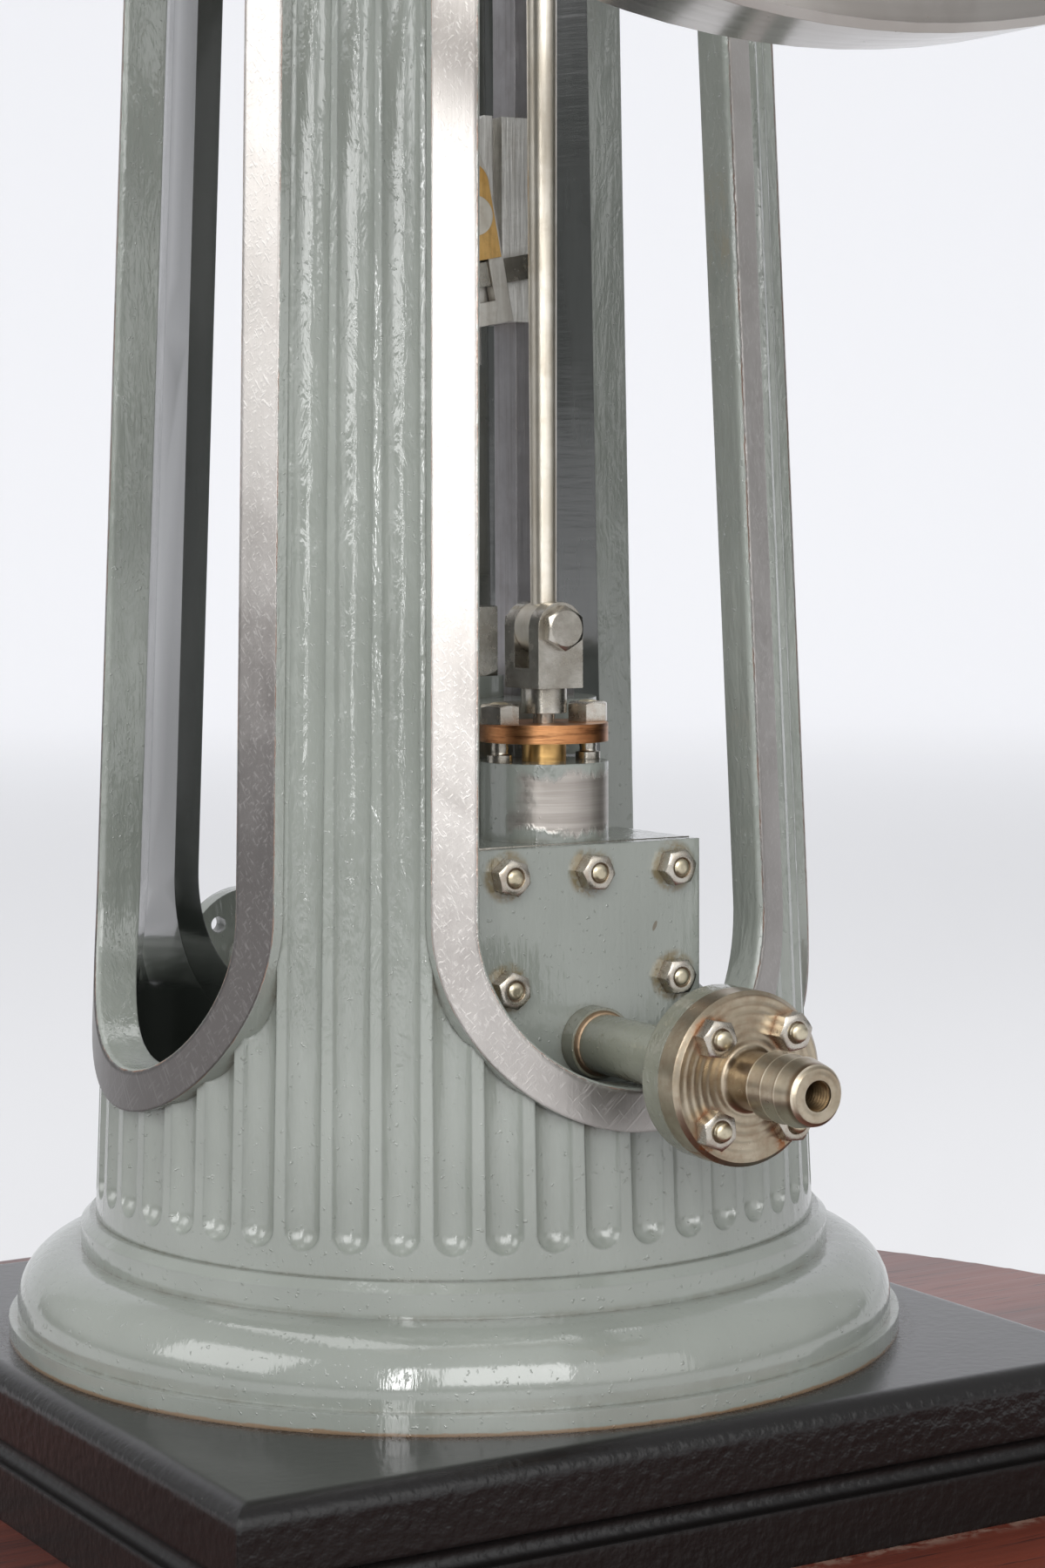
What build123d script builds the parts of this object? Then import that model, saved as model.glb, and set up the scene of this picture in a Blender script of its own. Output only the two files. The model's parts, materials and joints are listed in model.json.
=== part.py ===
from build123d import *
import os
from math import asin, cos, degrees, pi, sin, sqrt, tan

# A model of a vertical column steam engine on a square plinth and a round mahogany board.
# Millimetres, +Z up, origin at the middle of the board's underside, on the column's axis.
# The front, with the valve chest and the flywheel, faces -Y, and the crankshaft lies along Y.

# Fits
RUNNING_FIT = 0.05      # radial clearance of a shaft in its hole
SEAT_GAP = 0.3          # gap between pieces that pass each other
SLIDE_FIT = 0.2         # gap between the crosshead and its bars

# Round board
BOARD_RADIUS = 154.0
BOARD_HEIGHT = 20.0
BOARD_ROUND = 3.0       # round of the upper edge
BOARD_EASE = 1.0        # bevel of the lower edge

# Square plinth
PLINTH_HALF = 68.0
PLINTH_HEIGHT = 20.0
PLINTH_FASCIA_OUT = 0.5
PLINTH_FASCIA_HEIGHT = 7.6
PLINTH_HOLLOW = 1.6     # depth and half the height of the hollow between the two slabs
PLINTH_ROUND = 2.75

# Moulded foot of the column
FOOT_RADIUS = 63.5
FOOT_HEIGHT = 16.8
FOOT_RING_HEIGHT = 2.7
FOOT_FILLET = 1.2       # depth of the steps between the mouldings
FOOT_OVOLO_RISE = 8.0
FOOT_NECK_OUT = 2.1     # how far the neck ring stands out of the shaft
FOOT_NECK_HEIGHT = 4.5

# Fluted shaft of the column, a tapered shell
COLUMN_HEIGHT = 235.2
COLUMN_LOW_RADIUS = 51.15
COLUMN_TOP_RADIUS = 40.9
COLUMN_WALL = 4.7
FLUTE_COUNT = 48
FLUTE_WIDTH = 5.0
FLUTE_DEPTH = 1.6
FLUTE_LOW_MARGIN = 3.2
FLUTE_TOP_MARGIN = 5.0

# Slots through the shaft and the frames that line them
SLOT_SILL = 40.5        # height of the slot's lowest point above the foot
SLOT_HEADROOM = 22.0    # height of the shaft left above the slot
SLOT_LOW_RADIUS = 21.6
SLOT_TOP_RADIUS = 17.6
FRAME_WIDTH = 5.7
FRAME_PROUD = 1.3
FRAME_ROUND = 0.8       # round of the frame's inner edge

# Capital and the square plate on it
CAPITAL_HEIGHT = 14.0
CAPITAL_NECK_OUT = 1.6
CAPITAL_NECK_HEIGHT = 3.6
CAPITAL_RADIUS = 54.0
CAPITAL_LIP = 2.0
PLATE_HALF = 60.0
PLATE_HEIGHT = 10.0
PLATE_COVE = 4.0
WELL_HALF_X = 33.0      # opening for the cranks
WELL_HALF_Y = 31.0

# Crankshaft and its bearings
SHAFT_RISE = 20.2       # axis of the shaft above the plate
SHAFT_RADIUS = 6.0
BEARING_SPAN = 100.0    # distance between the bearings' middles
BEARING_WIDTH = 13.0
BRASS_RADIUS = 9.0
BRASS_LIP = 0.8
BRASS_LIP_RADIUS = 11.0
PEDESTAL_HALF = 24.0
PEDESTAL_FOOT_HEIGHT = 5.0
PEDESTAL_WAIST_HALF = 14.0
PEDESTAL_EAR_HALF = 20.0
PEDESTAL_EAR_HEIGHT = 5.0
CAP_RADIUS = 13.5
DISC_RADIUS = 36.0
DISC_WIDTH = 7.0
DISC_HUB_RADIUS = 11.0
DISC_HUB_HEIGHT = 1.5
DISC_GAP = 12.0         # clear space between the two crank discs
CRANK_THROW = 27.5
CRANK_PIN_RADIUS = 4.0
SHAFT_REAR_END = 62.0

# Flywheel
WHEEL_RADIUS = 127.0
WHEEL_WIDTH = 16.4
WHEEL_PLACE = 90.1     # middle of the rim in front of the column's axis
WHEEL_RIM_DEPTH = 16.0
WHEEL_EDGE = 1.0
HUB_RADIUS = 16.0
HUB_WIDTH = 24.0
SPOKE_COUNT = 6
SPOKE_ROOT = (5.5, 3.6)
SPOKE_TIP = (4.2, 2.9)
SHAFT_NOSE = 2.0        # shaft end in front of the hub

# Connecting rod, forked at its lower end
ROD_ARM_HALF = 2.0
ROD_ARM_DEPTH = 1.8
ROD_END_HALF = 3.6      # half the width of the lower end
ROD_END_RISE = 11.5     # height over the pin at which the end has narrowed to the arm
ROD_WINDOW_HALF = 1.25  # window below the brass
ROD_END_BAR = 3.2       # bar under the window
ROD_TAIL = 15.2
ROD_FORK = 84.0         # height of the fork's crotch above the crosshead pin
ROD_SHOULDER = 9.0
ROD_SHANK_RADIUS = 3.0
BIG_END_HALF = 9.0
BIG_END_RADIUS = 9.5
BIG_END_BRASS_RADIUS = 6.5

# Crosshead, its pin and the guide bars
CROSSHEAD_GAP = 3.8     # room over the piston rod's gland at the bottom of the stroke
CROSSHEAD_LOW = 14.2    # body below the pin
CROSSHEAD_HIGH = 14.2
CROSSHEAD_FRONT = 4.6   # half its depth along the pin
CROSSHEAD_HALF = 10.5   # half its width over the slippers
CROSSHEAD_BODY = 4.4    # half the width of the middle body
CROSSHEAD_GROOVE = 1.5  # groove between the body and a slipper
CROSSHEAD_GROOVE_DEPTH = 2.5
CROSSHEAD_SADDLE = 3.0  # depth and half width of the saddle on top
CROSSHEAD_BOSS_RADIUS = 4.4
CROSSHEAD_BOSS_HEIGHT = 6.0
CROSSHEAD_PIN_RADIUS = 2.2
PIN_HEAD_RADIUS = 2.75
PIN_HEAD = 0.3
CHEEK_HALF = 3.15
CHEEK_RISE = 7.4        # brass above the pin
CHEEK_DROP = 6.2        # brass below the pin
CHEEK_DEPTH = 0.4
COTTER_DROP = 8.2       # middle of the cotter below the pin
COTTER_HEIGHT = 3.4
COTTER_HALF = 8.6       # half its length
COTTER_THICK = 1.0
BAR_INNER = 9.0
BAR_WIDTH = 2.6
BAR_DEPTH = 6.0
BAR_ABOVE_STROKE = 6.0  # bars above the crosshead's highest place
BRIDGE_HEIGHT = 4.0

# Cylinder, cover, piston rod and the foot of the guide bars
CYLINDER_RADIUS = 15.9
CYLINDER_BORE = 12.5
CYLINDER_BASE_RADIUS = 30.0
CYLINDER_BASE_HEIGHT = 6.0
CYLINDER_FLOOR = 14.0
CYLINDER_HEIGHT = 85.5
CYLINDER_FLANGE_RADIUS = 20.5
CYLINDER_FLANGE_HEIGHT = 4.0
COVER_HEIGHT = 3.7
PISTON_HEIGHT = 10.0
PISTON_PLACE = 52.2     # middle of the piston above the foot
PISTON_ROD_RADIUS = 2.5
COVER_BOSS_RADIUS = 7.4
COVER_BOSS_HEIGHT = 3.1
PISTON_GLAND_RADIUS = 7.5
PISTON_GLAND_BEVEL = 0.8
PISTON_GLAND_HEIGHT = 9.7
GUIDE_FOOT_HEIGHT = 3.0
GUIDE_FOOT_LENGTH = 8.0 # foot of a guide bar, outwards from the bar's inner face
GUIDE_FOOT_DEPTH = 11.0

# Valve chest with its stuffing box, gland, spindle and clevis
CHEST_HALF = 17.3
CHEST_BOTTOM = 34.2
CHEST_HEIGHT = 36.8
CHEST_DEPTH = 18.1
CHEST_STAND_OFF = 0.3   # back of the chest in front of the cylinder's wall
CHEST_COVER_DEPTH = 2.7
PORT_BLOCK_HALF = 15.0
STUFFING_RADIUS = 8.7
STUFFING_HEIGHT = 10.5
STUFFING_BORE_DEPTH = 6.0
SPINDLE_OUT = 25.1      # spindle in front of the cylinder's axis
SPINDLE_RADIUS = 1.5
SPINDLE_REACH = 22.0    # spindle inside the chest
GLAND_RADIUS = 8.7
GLAND_THICK = 2.5
GLAND_STAND_OFF = 2.7
GLAND_SLEEVE_RADIUS = 3.0
COLLAR_RADIUS = 3.1
COLLAR_HEIGHT = 3.4
COLLAR_STAND_OFF = 1.3
CLEVIS_HALF = 3.5
CLEVIS_DEPTH = 8.8
CLEVIS_BOLT_RISE = 8.1  # bolt above the foot of the clevis
CLEVIS_SLOT = 3.8
CLEVIS_SLOT_DEPTH = 5.4
CLEVIS_BOLT_RADIUS = 1.4
CLEVIS_HEX = 5.3        # across the flats of the bolt's head
CLEVIS_HEX_HEIGHT = 1.6
CLEVIS_HEX_BEVEL = 0.25  # how far the end of the hexagon is inside its flats

# Eccentric, its strap and its rod
ECCENTRIC_THROW = 4.0
SHEAVE_RADIUS = 13.0
SHEAVE_WIDTH = 8.4
STRAP_WIDTH = 7.6
STRAP_RADIUS = 18.0
STRAP_EAR_HALF = 22.5
STRAP_EAR_HEIGHT = 3.6
STRAP_PALM_HALF = 7.0
STRAP_PALM_DROP = 23.0  # palm below the middle of the strap
ECCENTRIC_ROD_LOW = 1.75
ECCENTRIC_ROD_TOP = 2.3
ROD_PALM_HEIGHT = 4.0

# Steam inlet with its hose nozzle, and the exhaust behind
PIPE_HEIGHT = 44.75      # pipes above the foot
PIPE_RADIUS = 3.95
PIPE_BORE = 1.925
PIPE_COLLAR_RADIUS = 4.75
PIPE_COLLAR_DEPTH = 2.6
INLET_FLANGE_RADIUS = 11.0
FLANGE_DEPTH = 3.5
NOZZLE_FLANGE_DEPTH = 3.8
FLANGE_BEVEL = 0.6
FLANGE_BOLT_CIRCLE = 16.0
FLANGE_BOLT_COUNT = 4
FLANGE_HOLE_RADIUS = 1.3
INLET_FACE = 69.7       # joint between the two flanges, in front of the axis
NOZZLE_LENGTH = 14.4
NOZZLE_STEPS = 3
NOZZLE_STEP = 2.8       # length of a barb
NOZZLE_ROOT_RADIUS = 3.7
NOZZLE_COVE = 0.8       # radius of the cove at the root
NOZZLE_TIP_BEVEL = 0.5
NOZZLE_TIP_RADIUS = 3.8
NOZZLE_BARB = 0.55
EXHAUST_FLANGE_RADIUS = 11.3
EXHAUST_FACE = 69.0     # face of the exhaust flange behind the axis

# Heights worked out from the sizes
plinth_z = BOARD_HEIGHT
foot_z = plinth_z + PLINTH_HEIGHT
column_z = foot_z + FOOT_HEIGHT
capital_z = column_z + COLUMN_HEIGHT
plate_z = capital_z + CAPITAL_HEIGHT
plate_top_z = plate_z + PLATE_HEIGHT
shaft_z = plate_top_z + SHAFT_RISE
slot_z = foot_z + SLOT_SILL
slot_low_z = slot_z + SLOT_LOW_RADIUS
slot_top_z = capital_z - SLOT_HEADROOM - SLOT_TOP_RADIUS
cylinder_top_z = foot_z + CYLINDER_HEIGHT
cover_top_z = cylinder_top_z + COVER_HEIGHT
guide_z = cover_top_z + GUIDE_FOOT_HEIGHT
piston_gland_z = cover_top_z + COVER_BOSS_HEIGHT
low_boss_z = piston_gland_z + PISTON_GLAND_HEIGHT + CROSSHEAD_GAP
low_pin_z = low_boss_z + CROSSHEAD_BOSS_HEIGHT + CROSSHEAD_LOW
rod_length = shaft_z - CRANK_THROW - low_pin_z
pin_z = shaft_z - sqrt(rod_length**2 - CRANK_THROW**2)
bar_top_z = shaft_z + CRANK_THROW - rod_length + CROSSHEAD_HIGH + BAR_ABOVE_STROKE
chest_z = foot_z + CHEST_BOTTOM
chest_top_z = chest_z + CHEST_HEIGHT
stuffing_top_z = chest_top_z + STUFFING_HEIGHT
gland_z = stuffing_top_z + GLAND_STAND_OFF
collar_z = gland_z + GLAND_THICK + COLLAR_STAND_OFF
clevis_z = collar_z + COLLAR_HEIGHT
clevis_bolt_z = clevis_z + CLEVIS_BOLT_RISE
strap_z = shaft_z - ECCENTRIC_THROW
palm_z = strap_z - STRAP_PALM_DROP - SEAT_GAP
pipe_z = foot_z + PIPE_HEIGHT

# Depths worked out from the sizes
chest_back = CYLINDER_RADIUS + CHEST_STAND_OFF
chest_front = chest_back + CHEST_DEPTH
cover_front = chest_front + CHEST_COVER_DEPTH
arm_back = CROSSHEAD_FRONT + SEAT_GAP
arm_front = arm_back + ROD_ARM_DEPTH
cheek_front = arm_front + CHEEK_DEPTH
disc_back = DISC_GAP / 2
disc_front = disc_back + DISC_WIDTH
big_end_half_depth = disc_back - 2 * SEAT_GAP
bar_outer = BAR_INNER + BAR_WIDTH
rod_tilt = degrees(asin(CRANK_THROW / rod_length))

UPRIGHT = (Align.CENTER, Align.CENTER, Align.MIN)
TO_FRONT = (0, -1, 0)


def drum(radius, height, z=0.0, x=0.0, y=0.0):
    """Upright cylinder standing on height z."""
    return Pos(x, y, z) * Cylinder(radius, height, align=UPRIGHT)


def block(half_x, y_front, y_back, z_low, z_high):
    """Box that is symmetric about the YZ plane, between two depths and two heights."""
    size = (2 * half_x, y_back - y_front, z_high - z_low)
    middle = Pos(0, (y_front + y_back) / 2, (z_low + z_high) / 2)
    return middle * Box(*size)


def rod_along_y(radius, y_front, y_back, x, z):
    """Round bar that lies along Y."""
    middle = Pos(x, (y_front + y_back) / 2, z)
    return middle * Rot(90, 0, 0) * Cylinder(radius, y_back - y_front)


def turned(lines):
    """Solid of revolution about Z from lines drawn in the XZ plane."""
    return revolve(make_face(Plane.XZ * lines), Axis.Z)


def mitred(lines, half):
    """Square block with the same moulding on its four sides, mitred at the corners."""
    right = make_face(Plane.XZ * lines)
    profile = right + mirror(right, Plane.YZ)
    run = extrude(profile, amount=half, both=True)
    return run & (Rot(0, 0, 90) * run)


def bolt_circle(radius, count, circle, depth):
    """Round holes on a bolt circle, standing on the XY plane and set between the axes."""
    turn = 180.0 / count
    return PolarLocations(circle / 2, count, start_angle=turn) * Cylinder(radius, depth, align=UPRIGHT)


def baseboard():
    """Round board with a rounded upper edge."""
    round_x = BOARD_RADIUS - BOARD_ROUND
    round_z = BOARD_HEIGHT - BOARD_ROUND
    bow = BOARD_ROUND * sin(pi / 4)
    ease = [(BOARD_RADIUS - BOARD_EASE, 0), (BOARD_RADIUS, BOARD_EASE)]
    lines = Polyline((0, 0), *ease, (BOARD_RADIUS, round_z))
    lines += ThreePointArc((BOARD_RADIUS, round_z), (round_x + bow, round_z + bow), (round_x, BOARD_HEIGHT))
    lines += Polyline((round_x, BOARD_HEIGHT), (0, BOARD_HEIGHT), (0, 0))
    return turned(lines)


def plinth():
    """Square plinth: a lower slab, a hollow and an upper slab with a rounded top edge."""
    out = PLINTH_HALF + PLINTH_FASCIA_OUT
    hollow_top = PLINTH_FASCIA_HEIGHT + 2 * PLINTH_HOLLOW
    hollow_middle = (PLINTH_HALF - PLINTH_HOLLOW, PLINTH_FASCIA_HEIGHT + PLINTH_HOLLOW)
    round_z = PLINTH_HEIGHT - PLINTH_ROUND
    round_x = PLINTH_HALF - PLINTH_ROUND
    bow = PLINTH_ROUND * sin(pi / 4)
    lines = Polyline((0, 0), (out, 0), (out, PLINTH_FASCIA_HEIGHT), (PLINTH_HALF, PLINTH_FASCIA_HEIGHT))
    lines += ThreePointArc((PLINTH_HALF, PLINTH_FASCIA_HEIGHT), hollow_middle, (PLINTH_HALF, hollow_top))
    lines += Line((PLINTH_HALF, hollow_top), (PLINTH_HALF, round_z))
    lines += ThreePointArc((PLINTH_HALF, round_z), (round_x + bow, round_z + bow), (round_x, PLINTH_HEIGHT))
    lines += Polyline((round_x, PLINTH_HEIGHT), (0, PLINTH_HEIGHT), (0, 0))
    return Pos(0, 0, plinth_z) * mitred(lines, out)


def column_foot():
    """Turned foot: a ring, a fillet, a broad ovolo and a neck ring, bored like the shaft."""
    neck = COLUMN_LOW_RADIUS + FOOT_NECK_OUT
    bore = COLUMN_LOW_RADIUS - COLUMN_WALL
    waist = FOOT_RADIUS - FOOT_FILLET
    ovolo_z = FOOT_HEIGHT - FOOT_NECK_HEIGHT - FOOT_OVOLO_RISE
    neck_z = FOOT_HEIGHT - FOOT_NECK_HEIGHT
    ovolo_in = neck + FOOT_FILLET
    middle = (
        ovolo_in + (waist - ovolo_in) * sin(pi / 4),
        ovolo_z + FOOT_OVOLO_RISE * sin(pi / 4),
    )
    lines = Polyline((bore, 0), (FOOT_RADIUS, 0), (FOOT_RADIUS, FOOT_RING_HEIGHT))
    lines += Polyline((FOOT_RADIUS, FOOT_RING_HEIGHT), (waist, FOOT_RING_HEIGHT), (waist, ovolo_z))
    lines += ThreePointArc((waist, ovolo_z), middle, (ovolo_in, neck_z))
    lines += Polyline(
        (ovolo_in, neck_z),
        (neck, neck_z),
        (neck, FOOT_HEIGHT - FOOT_FILLET),
        (neck - FOOT_FILLET, FOOT_HEIGHT),
        (bore, FOOT_HEIGHT),
        (bore, 0),
    )
    return Pos(0, 0, foot_z) * turned(lines)


def shaft_radius(z):
    """Outer radius of the tapered shaft at height z."""
    share = (z - column_z) / COLUMN_HEIGHT
    return COLUMN_LOW_RADIUS + (COLUMN_TOP_RADIUS - COLUMN_LOW_RADIUS) * share


def shaft_cone(grow):
    """Solid cone of the shaft, grown outwards or, with a minus sign, inwards."""
    cone = Cone(COLUMN_LOW_RADIUS + grow, COLUMN_TOP_RADIUS + grow, COLUMN_HEIGHT, align=UPRIGHT)
    return Pos(0, 0, column_z) * cone


def slot_prism(grow):
    """Front slot as a solid: two round ends joined by tangent sides, drawn through the wall."""
    low = SLOT_LOW_RADIUS + grow
    top = SLOT_TOP_RADIUS + grow
    lean = asin((low - top) / (slot_top_z - slot_low_z))
    low_side = (low * cos(lean), slot_low_z + low * sin(lean))
    top_side = (top * cos(lean), slot_top_z + top * sin(lean))
    lines = ThreePointArc((-low_side[0], low_side[1]), (0, slot_low_z - low), low_side)
    lines += Line(low_side, top_side)
    lines += ThreePointArc(top_side, (0, slot_top_z + top), (-top_side[0], top_side[1]))
    lines += Line((-top_side[0], top_side[1]), (-low_side[0], low_side[1]))
    return extrude(make_face(Plane.XZ * lines), 2 * COLUMN_LOW_RADIUS, TO_FRONT)


def flute():
    """Cutter of one flute: a round bar with ball ends, parallel to the side of the shaft."""
    radius = (FLUTE_WIDTH**2 / 4 + FLUTE_DEPTH**2) / (2 * FLUTE_DEPTH)
    out = radius - FLUTE_DEPTH
    low_z = column_z + FLUTE_LOW_MARGIN + FLUTE_WIDTH / 2
    top_z = capital_z - FLUTE_TOP_MARGIN - FLUTE_WIDTH / 2
    low = Vector(shaft_radius(low_z) + out, 0, low_z)
    top = Vector(shaft_radius(top_z) + out, 0, top_z)
    along = Plane(origin=low, z_dir=top - low)
    length = (top - low).length
    bar = Cylinder(radius, length, align=UPRIGHT) + Sphere(radius) + Pos(0, 0, length) * Sphere(radius)
    return along * bar


def fluted_column():
    """Tapered shell with flutes all round and four slots cut to the outside of their frames."""
    cutter = flute()
    flutes = [Rot(0, 0, 360.0 * k / FLUTE_COUNT) * cutter for k in range(FLUTE_COUNT)]
    slot = slot_prism(FRAME_WIDTH)
    slots = [Rot(0, 0, turn) * slot for turn in SIDES.values()]
    shell = shaft_cone(0) - shaft_cone(-COLUMN_WALL)
    return shell - slots - flutes


def slot_frame(turn):
    """Frame round one slot, a little proud of the shaft, with a rounded inner edge."""
    ring = slot_prism(FRAME_WIDTH) - slot_prism(0)
    wall = shaft_cone(FRAME_PROUD) - shaft_cone(-COLUMN_WALL)
    frame = wall & ring
    face = frame.faces().sort_by(Axis.Y)[0]
    return Rot(0, 0, turn) * fillet(face.inner_wires()[0].edges(), FRAME_ROUND)


def capital():
    """Turned capital: a neck ring and a spreading ovolo under a square lip."""
    bore = COLUMN_TOP_RADIUS - COLUMN_WALL
    neck = COLUMN_TOP_RADIUS + CAPITAL_NECK_OUT
    lip_z = CAPITAL_HEIGHT - CAPITAL_LIP
    spread = CAPITAL_RADIUS - COLUMN_TOP_RADIUS
    rise = lip_z - CAPITAL_NECK_HEIGHT
    middle = (
        COLUMN_TOP_RADIUS + spread * sin(pi / 4),
        lip_z - rise * sin(pi / 4),
    )
    ring_top = (COLUMN_TOP_RADIUS, CAPITAL_NECK_HEIGHT)
    lip_low = (CAPITAL_RADIUS, lip_z)
    lines = Polyline((bore, 0), (neck, 0), (neck, CAPITAL_NECK_HEIGHT), ring_top)
    lines += ThreePointArc(ring_top, middle, lip_low)
    lines += Polyline(lip_low, (CAPITAL_RADIUS, CAPITAL_HEIGHT), (bore, CAPITAL_HEIGHT), (bore, 0))
    return Pos(0, 0, capital_z) * turned(lines)


def top_plate():
    """Square plate with a cove under its edge and a well for the cranks and the eccentric."""
    half = PLATE_HALF
    cove_x = half - PLATE_COVE
    bow = PLATE_COVE * (1 - sin(pi / 4))
    lines = Polyline((0, 0), (cove_x, 0))
    lines += ThreePointArc((cove_x, 0), (cove_x + bow, PLATE_COVE - bow), (half, PLATE_COVE))
    lines += Polyline((half, PLATE_COVE), (half, PLATE_HEIGHT), (0, PLATE_HEIGHT), (0, 0))
    well = block(WELL_HALF_X, -WELL_HALF_Y, WELL_HALF_Y, -PLATE_HEIGHT, 2 * PLATE_HEIGHT)
    return Pos(0, 0, plate_z) * (mitred(lines, half) - well)


def bearing_middle(side):
    """Middle of the front (-1) or rear (+1) bearing along Y."""
    return side * BEARING_SPAN / 2


def bearing_pedestal(side):
    """Lower half of a plummer block, with a broad foot and ears for the cap's studs."""
    middle = bearing_middle(side)
    front = middle - BEARING_WIDTH / 2
    back = middle + BEARING_WIDTH / 2
    foot = block(PEDESTAL_HALF, front, back, plate_top_z, plate_top_z + PEDESTAL_FOOT_HEIGHT)
    waist = block(PEDESTAL_WAIST_HALF, front, back, plate_top_z, shaft_z)
    ears = block(PEDESTAL_EAR_HALF, front, back, shaft_z - PEDESTAL_EAR_HEIGHT, shaft_z)
    seat = rod_along_y(BRASS_RADIUS + RUNNING_FIT, front, back, 0, shaft_z)
    return foot + waist + ears - seat


def bearing_cap(side):
    """Upper half of a plummer block: an arch between two ears."""
    middle = bearing_middle(side)
    front = middle - BEARING_WIDTH / 2
    back = middle + BEARING_WIDTH / 2
    ears = block(PEDESTAL_EAR_HALF, front, back, shaft_z, shaft_z + PEDESTAL_EAR_HEIGHT)
    upper = block(CAP_RADIUS, front, back, shaft_z, shaft_z + CAP_RADIUS)
    arch = rod_along_y(CAP_RADIUS, front, back, 0, shaft_z) & upper
    seat = rod_along_y(BRASS_RADIUS + RUNNING_FIT, front, back, 0, shaft_z)
    return ears + arch - seat


def bearing_brass(side):
    """Bush with a lip at each end."""
    middle = bearing_middle(side)
    reach = BEARING_WIDTH / 2 + RUNNING_FIT
    bush = rod_along_y(BRASS_RADIUS, middle - reach, middle + reach, 0, shaft_z)
    for end in (-1, 1):
        near = middle + end * reach
        far = near + end * BRASS_LIP
        bush += rod_along_y(BRASS_LIP_RADIUS, min(near, far), max(near, far), 0, shaft_z)
    whole = reach + BRASS_LIP
    bore = rod_along_y(SHAFT_RADIUS + RUNNING_FIT, middle - whole, middle + whole, 0, shaft_z)
    return bush - bore


def bearing_brasses():
    """Both bushes."""
    return Compound([bearing_brass(-1), bearing_brass(1)])


def clipped(part, z_low, z_high):
    """The part with its front cut flat, in line with the back of the valve chest."""
    keep = block(2 * CYLINDER_BASE_RADIUS, SEAT_GAP - chest_back, 2 * CYLINDER_BASE_RADIUS, z_low, z_high)
    return part & keep


def cylinder():
    """Cylinder on a round base, with a flange on top and a flat block behind the valve chest."""
    base = drum(CYLINDER_BASE_RADIUS, CYLINDER_BASE_HEIGHT, foot_z)
    barrel = drum(CYLINDER_RADIUS, CYLINDER_HEIGHT, foot_z)
    flange_z = cylinder_top_z - CYLINDER_FLANGE_HEIGHT
    flange = drum(CYLINDER_FLANGE_RADIUS, CYLINDER_FLANGE_HEIGHT, flange_z)
    ports = block(PORT_BLOCK_HALF, -chest_back, 0, chest_z, chest_top_z)
    bore = drum(CYLINDER_BORE, CYLINDER_HEIGHT, foot_z + CYLINDER_FLOOR)
    return base + barrel + clipped(flange, flange_z, cylinder_top_z) + ports - bore


def cylinder_cover():
    """Cover of the cylinder with a round stuffing box, bored for the piston rod."""
    plate = drum(CYLINDER_FLANGE_RADIUS, COVER_HEIGHT, cylinder_top_z)
    cover = clipped(plate, cylinder_top_z, cover_top_z)
    cover += drum(COVER_BOSS_RADIUS, COVER_BOSS_HEIGHT, cover_top_z)
    return cover - drum(PISTON_ROD_RADIUS + RUNNING_FIT, COVER_HEIGHT + COVER_BOSS_HEIGHT, cylinder_top_z)


def piston_rod_gland():
    """Hexagonal gland nut on the stuffing box, with its corners bevelled below."""
    nut = extrude(RegularPolygon(PISTON_GLAND_RADIUS, 6), PISTON_GLAND_HEIGHT)
    low = PISTON_GLAND_RADIUS - PISTON_GLAND_BEVEL
    high = low + PISTON_GLAND_HEIGHT
    nut &= Cone(low, high, PISTON_GLAND_HEIGHT, align=UPRIGHT)
    hole = Cylinder(PISTON_ROD_RADIUS + RUNNING_FIT, 2 * PISTON_GLAND_HEIGHT)
    return Pos(0, 0, piston_gland_z) * (nut - hole)


def piston_rod():
    """Piston rod, with its piston in the cylinder and its upper end in the crosshead."""
    piston_z = foot_z + PISTON_PLACE - PISTON_HEIGHT / 2
    top_z = pin_z - CROSSHEAD_LOW
    rod = drum(PISTON_ROD_RADIUS, top_z - piston_z, piston_z)
    return rod + drum(CYLINDER_BORE - RUNNING_FIT, PISTON_HEIGHT, piston_z)


def guide_feet():
    """Foot on the cover under each guide bar."""
    foot = block(GUIDE_FOOT_LENGTH / 2, -GUIDE_FOOT_DEPTH / 2, GUIDE_FOOT_DEPTH / 2, cover_top_z, guide_z)
    place = BAR_INNER + GUIDE_FOOT_LENGTH / 2
    return Compound([Pos(-place, 0, 0) * foot, Pos(place, 0, 0) * foot])


def guide_bars():
    """The two flat bars that guide the crosshead."""
    bar = block(BAR_WIDTH / 2, -BAR_DEPTH / 2, BAR_DEPTH / 2, guide_z, bar_top_z)
    place = BAR_INNER + BAR_WIDTH / 2
    return Compound([Pos(-place, 0, 0) * bar, Pos(place, 0, 0) * bar])


def guide_bridge():
    """Cross piece that ties the tops of the guide bars."""
    return block(bar_outer, -BAR_DEPTH / 2, BAR_DEPTH / 2, bar_top_z, bar_top_z + BRIDGE_HEIGHT)


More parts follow.
